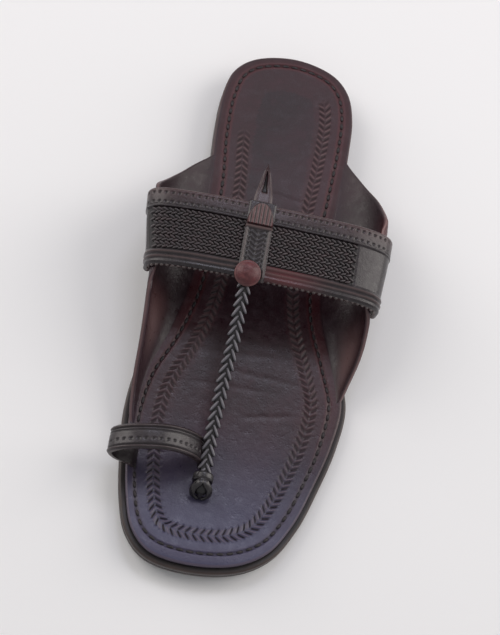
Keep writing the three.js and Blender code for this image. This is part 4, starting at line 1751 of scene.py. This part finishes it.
@dataclass
class Button:
    """Round oxblood leather button, domed over a core with a rubbed rim."""

    wall: FootWall
    diameter: float = 13.0
    height: float = 3.4
    along: float = 0.516
    across: float = 9.2
    pitch: float = 0.24
    strap_rise: float = 1.2
    strip_rise: float = 0.8

    def build(self, leather: Finish) -> None:
        """Make the button by turning its section once round.

        Args:
            leather: Its finish.
        """
        bench = Bench()
        radius = self.diameter / 2
        section = [
            (0.0, 0.0), (0.90, 0.0), (0.97, 0.08), (1.0, 0.20), (0.995, 0.34), (0.96, 0.46), (0.91, 0.52),
            (0.86, 0.53), (0.83, 0.55), (0.76, 0.66), (0.62, 0.80), (0.44, 0.92), (0.22, 0.985),
            (0.0, 1.0),
        ]
        verts = [bench.bm.verts.new((share * radius, 0.0, rise * self.height)) for share, rise in section]
        edges = [bench.bm.edges.new(pair) for pair in zip(verts, verts[1:])]
        bmesh.ops.spin(
            bench.bm, geom=[*verts, *edges], cent=(0, 0, 0), axis=(0, 0, 1), angle=2 * math.pi, steps=64,
            use_merge=True,
        )
        bench.seal(0.001)
        for vert in bench.bm.verts:
            share = math.hypot(vert.co.x, vert.co.y) / radius
            angle = math.atan2(vert.co.y, vert.co.x)
            wave = 0.09 * math.sin(3 * angle + 1.0) * (1 - share)
            vert.co.z += wave * smooth(0.2, 0.6, vert.co.z / self.height)
            vert[bench.wear_and_painted_light] = (0.35 * ridge(share - 0.85, 0.05), 0.22 * smooth(0.88, 1.0, share), 0.0, 1.0)
        y = self.wall.sole.y_at(self.along)
        lift = self.wall.band_offset + self.wall.band_thickness + self.strip_rise + self.strap_rise
        seat = self.wall.offset(y, self.wall.turn_at(self.across, y), lift + self.wall.sole.seat_gap)
        stand = Matrix.Translation(seat) @ Matrix.Rotation(-self.pitch, 4, "X")
        bmesh.ops.transform(bench.bm, matrix=stand, verts=bench.bm.verts[:])
        button = bench.finish("button_dressed", leather)
        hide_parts("button")


@dataclass
class ToeStrap:
    """Three-strand braid from the strap to the toe, and the wrapped knot over the toe post."""

    sole: Sole
    instep_rise: float = 32.5
    width: float = 7.4
    pitch: float = 4.7
    strand: tuple[float, float] = (3.4, 1.9)
    weave_height: float = 1.0
    core_step: float = 1.5
    wrap_half: tuple[float, float] = (2.1, 0.85)
    arm_slant: float = 0.52
    arm_lean: float = 0.45
    knot_size: tuple[float, float, float] = (10.6, 13.0, 8.6)
    knot_place: tuple[float, float] = (0.862, 11.0)
    post: tuple[float, float] = (7.0, 4.0)
    post_depth: float = 3.0
    fold_half: tuple[float, float] = (1.75, 0.8)
    tongue_half: tuple[float, float] = (1.2, 0.6)
    # Ways of the folded strands and the tongue, as shares of the knot's size
    knot_fold: Route = (
        (0.06, -0.16, 0.92), (0.16, 0.02, 0.98), (0.36, 0.20, 0.72), (0.36, 0.38, 0.36), (0.16, 0.46, 0.12),
    )
    knot_tongue: Route = ((0.0, -0.02, 0.80), (0.0, 0.22, 0.74), (0.0, 0.40, 0.40), (0.0, 0.45, 0.10))
    # Place along the sole, distance across and height above the top sole as a share of the instep rise
    route: Route = (
        (0.484, 8.6, 1.142), (0.515, 9.2, 1.135), (0.548, 9.4, 1.077), (0.626, 9.4, 0.797),
        (0.699, 10.3, 0.542), (0.770, 10.9, 0.320), (0.826, 10.8, 0.178), (0.855, 11.0, 0.142),
    )

    def build(self, leather: Finish) -> None:
        """Make the braid and the knot.

        Args:
            leather: Finish of both.
        """
        braid = self._braid().finish("toe_braid", leather, 70.0)
        knot = self._knot().finish("toe_knot", leather, 60.0)

    def _flat(self, half_width: float, half_height: float, steps: int) -> list[tuple[float, float]]:
        """Section of one strand: a flat strip with full rounded edges and a crowned face.

        Args:
            half_width: Half its width.
            half_height: Half its thickness.
            steps: Number of corners.

        Returns:
            Its corners, across and up.
        """
        section = []
        for k in range(steps):
            angle = 2 * math.pi * k / steps
            c, s = math.cos(angle), math.sin(angle)
            across, up = math.copysign(abs(c) ** 0.7, c), math.copysign(abs(s) ** 0.8, s)
            section.append((half_width * across, half_height * up))
        return section

    def _stand(self, curve: SmoothCurve, share: float) -> tuple[Vector, Vector, Vector]:
        """Centre, across and up of the braid at a share of its length.

        Args:
            curve: Centre line of the braid.
            share: Share of its length.

        Returns:
            The centre and the two directions.
        """
        way = curve.direction(share)
        across = way.cross(Vector((0, 0, 1))).normalized()
        return curve.point(share), across, across.cross(way).normalized()

    def _braid(self) -> Bench:
        """Lay the braid's folded arms, left and right in turn, on both faces of a core painted dark as shade
        between them.

        Returns:
            The mesh being built.
        """
        bench = Bench()
        curve = self.sole.route(self.route, self.instep_rise)
        core = self._flat(self.width * 0.32, self.strand[1] * 0.55, 14)
        steps = int(curve.length / self.core_step)
        frames = [self._stand(curve, k / steps) for k in range(steps + 1)]
        # The core is painted dark: painted shade in the gaps between the arms
        bench.sweep(frames, lambda column, row: core[column], len(core), lambda column, row: (0.9, 0.0, 0.0))
        hand = random.Random(23)
        shape = Matrix.Diagonal((self.strand[0], self.strand[1] * 0.5, self.strand[1] * 0.42, 1.0))
        places, tones = [], []
        for k in range(int(curve.length / self.pitch)):
            for sign in (-1, 1):
                share = (k + 0.5 + 0.25 * sign) * self.pitch / curve.length
                centre, across, up = self._stand(curve, share)
                way = curve.direction(share)
                for face in (1, -1):
                    slant = self.arm_slant + hand.uniform(-0.03, 0.03)
                    run = way * math.cos(slant) + across * (sign * math.sin(slant))
                    off = up * (face * math.cos(self.arm_lean)) + across * (sign * math.sin(self.arm_lean))
                    side = off.cross(run).normalized()
                    off = run.cross(side)
                    seat = centre + across * (sign * self.width * 0.22)
                    seat += up * (face * self.weave_height * 0.75)
                    places.append(frame_at(seat, run, side, off) @ shape)
                    tones.append((hand.uniform(0.0, 0.3), 0.0, 0.0))
        # The arms' crests carry a painted highlight
        bench.seeds(places, tones, (12, 10), blunt=0.5, crest=0.6)
        bench.seal()
        return bench

    def _knot(self) -> Bench:
        """Wrap the braid's end: a band round it, two folded strands below it, a core and the post, both
        painted dark as shade.

        Returns:
            The mesh being built.
        """
        bench = Bench()
        y = self.sole.y_at(self.knot_place[0])
        x = self.knot_place[1]
        floor = self.sole.top(y) + self.sole.seat_gap
        wide, long, high = self.knot_size
        shape = Matrix.Diagonal((wide * 0.40, long * 0.40, high * 0.44, 1.0))
        core = Matrix.Translation((x, y, floor + high * 0.46)) @ shape
        made = bmesh.ops.create_uvsphere(bench.bm, u_segments=24, v_segments=16, radius=1.0, matrix=core)
        # The core is painted dark: painted shade under the wrap and the folded strands
        for vert in made["verts"]:
            vert[bench.wear_and_painted_light] = (0.85, 0.0, 0.0, 1.0)
        section = self._flat(*self.wrap_half, 14)
        # Band wrapped round the braid's end
        frames = []
        for k in range(49):
            angle = 2 * math.pi * k / 48
            out = Vector((math.cos(angle), 0.0, math.sin(angle)))
            centre = Vector((x, y - long * 0.24, floor + high * 0.5))
            centre += Vector((out.x * wide * 0.40, -out.z * 0.8, out.z * high * 0.42))
            frames.append((centre, Vector((0, 1, 0)), out))
        bench.sweep(frames, lambda column, row: section[column], len(section))
        # Two strands folded from the top down to the toe side, and a tongue between them
        for sign, route, half in (
            (-1, self.knot_fold, self.fold_half), (1, self.knot_fold, self.fold_half),
            (1, self.knot_tongue, self.tongue_half),
        ):
            points = [Vector((x + sign * wide * a, y + long * b, floor + high * c)) for a, b, c in route]
            self._strand_along(bench, points, half)
        # Post down into the sole, painted dark as shade under the knot
        levels = [mix(floor + high * 0.4, floor - self.post_depth, k / 8) for k in range(9)]
        frames = [(Vector((x, y, level)), Vector((1, 0, 0)), Vector((0, 1, 0))) for level in levels]
        post = self._flat(self.post[0] / 2, self.post[1] / 2, 16)
        bench.sweep(frames, lambda column, row: post[column], len(post), lambda column, row: (0.6, 0.0, 0.0))
        bench.seal()
        return bench

    def _strand_along(self, bench: Bench, points: Sequence[Vector], half: tuple[float, float]) -> None:
        """Lay a short strand over the knot.

        Args:
            bench: The mesh being built.
            points: The way that it takes.
            half: Half its width and thickness.
        """
        curve = SmoothCurve(points)
        section = self._flat(*half, 12)
        middle = Vector((self.knot_place[1], self.sole.y_at(self.knot_place[0]), points[-1].z + 1.5))
        frames = []
        for k in range(25):
            share = k / 24
            centre = curve.point(share)
            way = curve.direction(share)
            up = (centre - middle).normalized()
            side = way.cross(up).normalized()
            frames.append((centre, side, side.cross(way).normalized()))
        bench.sweep(frames, lambda column, row: section[column], len(section))


@dataclass
class ToeLoop:
    """Loop for the big toe: a doubled strap with two edge lines and a row of punched dots."""

    sole: Sole
    width: float = 12.4
    thickness: float = 2.4
    dot_pitch: float = 3.4
    step: float = 0.55
    # Place, half width and height of the ridge and the groove beside each edge
    edge_lines: Route = ((1.0, 0.6, 0.25), (1.9, 0.5, -0.4))
    # Place along the sole, distance across and height above the top sole
    route: Route = (
        (0.803, 13.2, -2.2), (0.803, 14.0, 4.5), (0.804, 19.6, 13.6), (0.808, 29.5, 20.6),
        (0.815, 41.4, 22.4), (0.822, 52.2, 20.2), (0.825, 57.4, 14.6), (0.826, 54.6, 7.8),
        (0.827, 47.0, 3.0), (0.827, 44.0, -2.2),
    )

    def relief(self, off: float, walk: float) -> tuple[float, float, float]:
        """Relief of the loop's outer face.

        Args:
            off: Distance from the strap's centre line, above zero towards the toe.
            walk: Distance along the loop.

        Returns:
            Height, dent and raw edge.
        """
        edge = self.width / 2 - abs(off)
        height = -0.55 * (1 - smooth(0.0, 0.8, edge))
        height += lines(self.edge_lines, edge)
        second = ridge(off + self.width / 2 - 3.4, 0.5)
        height -= 0.3 * second
        walk_off = (walk % self.dot_pitch) - self.dot_pitch / 2
        dot = 1 - smooth(0.4, 0.85, math.hypot(walk_off, off - 1.4))
        height -= 0.5 * dot
        height += 0.16 * math.sin(walk / 4.7) * ridge(off, 6)
        dent = max(dot, 0.7 * ridge(edge - 1.9, 0.5), 0.6 * second)
        return height, dent, 0.2 * ridge(edge - 1.0, 0.7)

    def build(self, leather: Finish) -> None:
        """Make the loop.

        Args:
            leather: Its finish.
        """
        bench = Bench()
        curve = self.sole.route(self.route)
        steps = int(curve.length / self.step)
        frames = []
        for k in range(steps + 1):
            way = curve.direction(k / steps)
            up = Vector((-way.z, 0.0, way.x)).normalized()
            frames.append((curve.point(k / steps), Vector((0, 1, 0)), up))
        counts = (34, 2, 8, 2)
        half, thick = self.width / 2, self.thickness / 2

        def profile(column: int, row: int) -> tuple[float, float]:
            """Corner of the strap's section."""
            face, share = face_of(column, counts)
            if face == 2:
                return self.width * (0.5 - share), -thick
            if face == 0:
                off = self.width * (share - 0.5)
                return off, thick + self.relief(off, curve.length * row / steps)[0]
            return (half + 0.12) * (2 - face), 0.0

        def paint(column: int, row: int) -> WearAndPaintedLight:
            """Dark in the dents, rubbed on the edges."""
            face, share = face_of(column, counts)
            if face:
                return (0.1, 0.3 * (face % 2), 0.0)
            _, dent, raw = self.relief(self.width * (share - 0.5), curve.length * row / steps)
            return (dent, raw, 0.0)

        bench.sweep(frames, profile, sum(counts), paint)
        bench.seal()
        loop = bench.finish("toe_loop", leather)


@dataclass
class BottomStack:
    """Outsole in two plies with a burnished edge and a stitched channel below, and the heel lift."""

    sole: Sole
    ply_groove: float = 0.5
    channel_inset: float = 4.2
    lift_length: float = 70.0
    lift_taper: float = 1.4
    lift_points: int = 150
    stitch_pitch: float = 5.0
    stitch_height: float = 0.45
    stitch_half: tuple[float, float, float] = (1.7, 0.42, 0.32)

    def build(self, edge: Finish, thread: Finish) -> None:
        """Make the outsole, the heel lift and the stitches below.

        Args:
            edge: Finish of the sole leather.
            thread: Finish of the stitches.
        """
        outsole = self._outsole().finish("outsole_dressed", edge)
        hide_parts("outsole")
        lift = self._lift().finish("heel_lift_dressed", edge)
        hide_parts("heel_lift")
        stitches = self._stitches().finish("outsole_stitches", thread)

    def _outsole(self) -> Bench:
        """Build the outsole.

        Returns:
            The mesh being built.
        """
        sole, bench = self.sole, Bench()
        thick = sole.out_thickness
        ply = thick / 2
        # Inset from the outsole's own edge, height above its underside, dent (painted shade in the ply groove
        # and under the top sole), raw edge (burnished rounds, partly painted highlight)
        rows = [
            (9.0, 0.0, 0.0, 0.0), (self.channel_inset + 1.0, 0.0, 0.1, 0.0),
            (self.channel_inset + 0.5, 0.22, 0.5, 0.0), (self.channel_inset, 0.34, 0.6, 0.0),
            (self.channel_inset - 0.5, 0.22, 0.5, 0.0), (self.channel_inset - 1.0, 0.0, 0.1, 0.0),
            (1.6, 0.0, 0.0, 0.1), (0.7, 0.05, 0.0, 0.2), (0.25, 0.25, 0.0, 0.3), (0.0, 0.75, 0.0, 0.25),
            (-0.1, 1.6, 0.0, 0.1), (-0.08, ply - 0.75, 0.1, 0.05), (0.0, ply - 0.35, 0.3, 0.0),
            (self.ply_groove, ply, 0.9, 0.0), (0.0, ply + 0.35, 0.3, 0.0), (-0.08, ply + 0.75, 0.1, 0.05),
            (-0.1, thick - 1.5, 0.0, 0.1), (0.0, thick - 0.7, 0.0, 0.2), (0.25, thick - 0.25, 0.0, 0.25),
            (0.7, thick - 0.03, 0.05, 0.1), (1.4, thick, 0.3, 0.0), (2.6, thick, 0.9, 0.0),
            (6.0, thick, 1.0, 0.0),
        ]

        def place(column: int, row: int) -> Vector:
            """Corner of the side band."""
            k = column % sole.count
            ledge = sole.ledge(sole.rings[0][k].y)
            point = sole.at(k, rows[row][0] - ledge)
            return Vector((point.x, point.y, sole.underside(point.y) + rows[row][1]))

        bench.grid(sole.count, len(rows) - 1, place, lambda column, row: (rows[row][2], rows[row][3], 0.0))

        for level, columns in ((0, 16), (len(rows) - 1, 2)):
            height = rows[level][1]
            sole.cap(bench, columns, lambda k: place(k, level), lambda p: sole.underside(p.y) + height)
        bench.seal(0.004)
        return bench

    def _lift(self) -> Bench:
        """Build the heel lift.

        Returns:
            The mesh being built.
        """
        sole, bench = self.sole, Bench()
        high, half = sole.heel_lift_height, sole.half_points
        breast = sole.y_at(0.0) + self.lift_length
        held = [k for k, point in enumerate(sole.rings[0]) if point.y < breast]
        # The first step behind the breast is long, so that its corners keep their shape
        shares = [0.0] + [mix(0.04, 1.0, k / (self.lift_points - 2)) for k in range(self.lift_points - 1)]
        inner = [round(mix(held[0], half - 1, share)) for share in shares]
        outer = [round(mix(held[-1], half, share)) for share in shares]
        numbers = [*inner, *reversed(outer)]
        count = len(numbers)
        # Inset, height, dent and raw edge of each row: painted shade in the middle groove and on the top
        # face, burnished rounds partly painted highlight
        rows = [
            (self.lift_taper + 1.2, 0.0, 0.0, 0.0), (self.lift_taper + 0.5, 0.06, 0.0, 0.15),
            (self.lift_taper + 0.1, 0.3, 0.0, 0.25), (self.lift_taper, 0.8, 0.0, 0.1),
            (self.lift_taper * 0.55, high / 2 - 0.4, 0.2, 0.05),
            (self.lift_taper * 0.5 + 0.45, high / 2, 0.9, 0.0),
            (self.lift_taper * 0.45, high / 2 + 0.4, 0.2, 0.05), (0.1, high - 0.6, 0.0, 0.1),
            (0.05, high - 0.15, 0.3, 0.1), (0.5, high, 0.8, 0.0),
        ]

        def place(column: int, row: int) -> Vector:
            """Corner of the lift's side; the first and the last one stand at the breast."""
            inset, height, _, _ = rows[row]
            k = numbers[column % count]
            point = sole.at(k, inset - sole.heel_ledge_width)
            at_breast = column % count in (0, count - 1)
            return Vector((point.x, breast - inset if at_breast else point.y, height))

        bench.grid(count, len(rows) - 1, place, lambda column, row: (rows[row][2], rows[row][3], 0.0))
        for level in (0, len(rows) - 1):
            sole.cap(bench, 12, lambda k: place(k, level), lambda p: rows[level][1], self.lift_points)
        bench.seal(0.004)
        return bench

    def _stitches(self) -> Bench:
        """Lay the stitches in the channel under the forefoot and the waist.

        Returns:
            The mesh being built.
        """
        sole, bench = self.sole, Bench()
        ring = [sole.at(k, self.channel_inset - sole.ledge(sole.rings[0][k].y)) for k in range(sole.count)]
        for point in ring:
            point.z = sole.underside(point.y) + self.stitch_height
        hidden = sole.y_at(0.0) + self.lift_length + 2
        shape = Matrix.Diagonal((*self.stitch_half, 1.0))
        steps = [(centre, way) for centre, way in spaced(ring, self.stitch_pitch) if centre.y >= hidden]
        bench.seeds([Matrix.Translation(c) @ heading(way, math.asin(way.z)) @ shape for c, way in steps])
        return bench


@dataclass(frozen=True)
class SoftBox:
    """A large soft light, by its direction and distance from the sandal."""

    name: str
    azimuth: float
    elevation: float
    distance: float
    size: tuple[float, float]
    power: float
    tint: str

    def hang(self, target: Vector) -> None:
        """Hang the light and turn it to the sandal.

        Args:
            target: What it lights.
        """
        data = bpy.data.lights.new(self.name, "AREA")
        data.shape = "RECTANGLE"
        data.size, data.size_y = self.size
        data.energy = self.power
        data.color = linear(self.tint)[:3]
        lamp = bpy.data.objects.new(self.name, data)
        way = sight(self.azimuth, self.elevation)
        lamp.location = target + way * self.distance
        lamp.rotation_euler = way.to_track_quat("Z", "Y").to_euler()
        bpy.context.scene.collection.objects.link(lamp)


@dataclass
class Studio:
    """Pale sheet, soft lights, and a camera that looks down on the sandal from its toe end."""

    elevation: float = 66.3
    azimuth: float = 11.2
    tilt: float = 9.5
    distance: float = 0.798
    focal_pixels: float = 1590.0
    frame_height: float = 635.0
    sensor: float = 24.0
    aim: tuple[float, float, float] = (0.0, 0.010, 0.014)
    sheet_half: float = 6.0
    sky_tint: str = "#f4f4f6"
    sky_strength: float = 0.45
    lights: tuple[SoftBox, ...] = (
        SoftBox("sheen_box", 184.0, 60.0, 1.5, (0.5, 0.36), 3.0, "#eaeafc"),
        SoftBox("outer_box", -112.0, 33.0, 1.4, (0.9, 1.4), 10.0, "#fff9f5"),
        SoftBox("inner_box", 116.0, 34.0, 1.4, (0.9, 1.4), 9.1, "#fff9f5"),
    )

    def build(self) -> None:
        """Set up the sheet, the lights and the camera."""
        self._sheet()
        self._sky()
        target = Vector(self.aim)
        for light in self.lights:
            light.hang(target)
        self._camera(target)

    def _sheet(self) -> None:
        """Lay the paper sheet."""
        mesh = bpy.data.meshes.new("paper_sheet")
        bm = bmesh.new()
        bmesh.ops.create_grid(bm, x_segments=2, y_segments=2, size=self.sheet_half)
        bm.to_mesh(mesh)
        bm.free()
        mesh.materials.append(Backdrop().material())
        sheet = bpy.data.objects.new("paper_sheet", mesh)
        bpy.context.scene.collection.objects.link(sheet)

    def _sky(self) -> None:
        """Even light from all round."""
        world = bpy.data.worlds.new("studio_room")
        world.use_nodes = True
        tree = world.node_tree
        tree.nodes["Background"].inputs["Color"].default_value = linear(self.sky_tint)
        tree.nodes["Background"].inputs["Strength"].default_value = self.sky_strength
        bpy.context.scene.world = world
        bpy.context.scene.view_settings.view_transform = "Standard"

    def _camera(self, target: Vector) -> None:
        """Set the camera on its line of sight, rolled so that the toe axis leans as in the photograph.

        Args:
            target: The point at the middle of the picture.
        """
        t = math.radians(self.tilt)
        back = sight(self.azimuth, self.elevation)
        ahead = -back
        toe = Vector((0, 1, 0))
        toe = (toe - ahead * toe.dot(ahead)).normalized()
        beside = toe.cross(ahead).normalized()
        down = toe * math.cos(t) + beside * math.sin(t)
        right = beside * math.cos(t) - toe * math.sin(t)
        data = bpy.data.cameras.new("camera")
        data.sensor_fit = "VERTICAL"
        data.sensor_height = self.sensor
        data.lens = self.sensor * self.focal_pixels / self.frame_height
        data.dof.use_dof = False
        data.clip_start, data.clip_end = 0.02, 20.0
        camera = bpy.data.objects.new("camera", data)
        camera.matrix_world = frame_at(target + back * self.distance, right, -down, back)
        bpy.context.scene.collection.objects.link(camera)
        bpy.context.scene.camera = camera


def main() -> None:
    """Build the sandal piece by piece."""
    logging.basicConfig(level=logging.INFO, format="%(name)s: %(message)s")
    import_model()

    sole = Sole()
    wall = FootWall(sole)
    low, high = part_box("outsole")
    rim = [sole.at(k, -sole.ledge(sole.rings[0][k].y)) for k in range(sole.count)]
    xs, ys = [point.x for point in rim], [point.y for point in rim]
    middle = Vector(((min(xs) + max(xs)) / 2, (min(ys) + max(ys)) / 2, 0.0))
    Bench.shift = Vector(((low.x + high.x) / 2, (low.y + high.y) / 2, 0.0)) / METRES - middle
    LOG.info("centre line set at %.2f, %.2f mm", Bench.shift.x, Bench.shift.y)

    # Oiled top leather: plum brown at the heel, with a painted cool sheen towards the toe
    top_leather = Leather(
        "veg_tanned_leather_oiled", base="#301a22", deep="#1b0f13", worn="#412e37", edge="#8c706e",
        painted_toe_sheen="#3f4059", painted_toe_sheen_from=0.055, painted_toe_sheen_to=0.13, painted_toe_sheen_share=0.85, roughness=(0.24, 0.47),
        heel_dull=0.2, coat=0.06,
    ).material()
    # Dyed strap leather with rubbed edges; its ridges get painted highlights in the edge colour
    strap_leather = Leather(
        "veg_tanned_leather_dyed", base="#241b1f", deep="#130e10", worn="#3d3338", edge="#6e5a58",
        patch_mm=18.0, mottle_mm=3.0, roughness=(0.24, 0.46), coat=0.3, coat_roughness=0.2,
    ).material()
    # Thin split strips, waxed and almost black
    plait_leather = Leather(
        "split_leather_strip_waxed", base="#1b1518", deep="#0d0a0b", worn="#332b2e", edge="#5c5256",
        patch_mm=12.0, mottle_mm=2.2, roughness=(0.28, 0.42), coat=0.35,
    ).material()
    # Braided thongs, almost black and polished; the strands' crests get a painted highlight
    braid_leather = Leather(
        "braided_thong_leather_polished", base="#1e1a1d", deep="#0e0b0d", worn="#383338", edge="#77747c",
        patch_mm=9.0, mottle_mm=1.8, roughness=(0.22, 0.4), coat=0.4, coat_roughness=0.18,
    ).material()
    # Pale burnished hem, where the grain has been cut through
    hem_leather = Leather(
        "cut_leather_hem_burnished", base="#473c3b", deep="#2b2323", worn="#75696a", patch_mm=8.0,
        mottle_mm=2.0, roughness=(0.3, 0.45),
    ).material()
    # Stacked sole leather with a waxed, burnished edge
    sole_leather = Leather(
        "stacked_sole_leather_burnished", base="#2c2223", deep="#151011", worn="#43342f", edge="#5c463c",
        patch_mm=40.0, mottle_mm=6.0, fibre_mm=(3.0, 14.0, 0.5), roughness=(0.34, 0.55),
    ).material()
    # Oxblood hide, polished over a core
    button_leather = Leather(
        "oxblood_leather_polished", base="#5a2327", deep="#331417", worn="#784644", edge="#8f736f",
        patch_mm=7.0, mottle_mm=1.8, roughness=(0.34, 0.52),
    ).material()
    thread = Thread().material()
    warm_thread = Thread("waxed_linen_thread_red", "#3c1f1c", "#6a3a30").material()

    BottomStack(sole).build(sole_leather, warm_thread)
    LOG.info("outsole and heel lift done")
    TopSole(sole, wall).build(top_leather, thread)
    LOG.info("top sole with its ears done")
    band = InstepBand(wall)
    band.build(strap_leather, plait_leather, hem_leather)
    LOG.info("instep band done")
    CentreStrap(band).build(strap_leather)
    LOG.info("centre strap done")
    StrapTail(wall).build(strap_leather)
    LOG.info("strap tail done")
    Button(wall).build(button_leather)
    LOG.info("button done")
    ToeStrap(sole).build(braid_leather)
    LOG.info("braid and knot done")
    ToeLoop(sole).build(strap_leather)
    LOG.info("toe loop done")
    Studio().build()
    LOG.info("studio done")


if __name__ == "__main__":
    main()
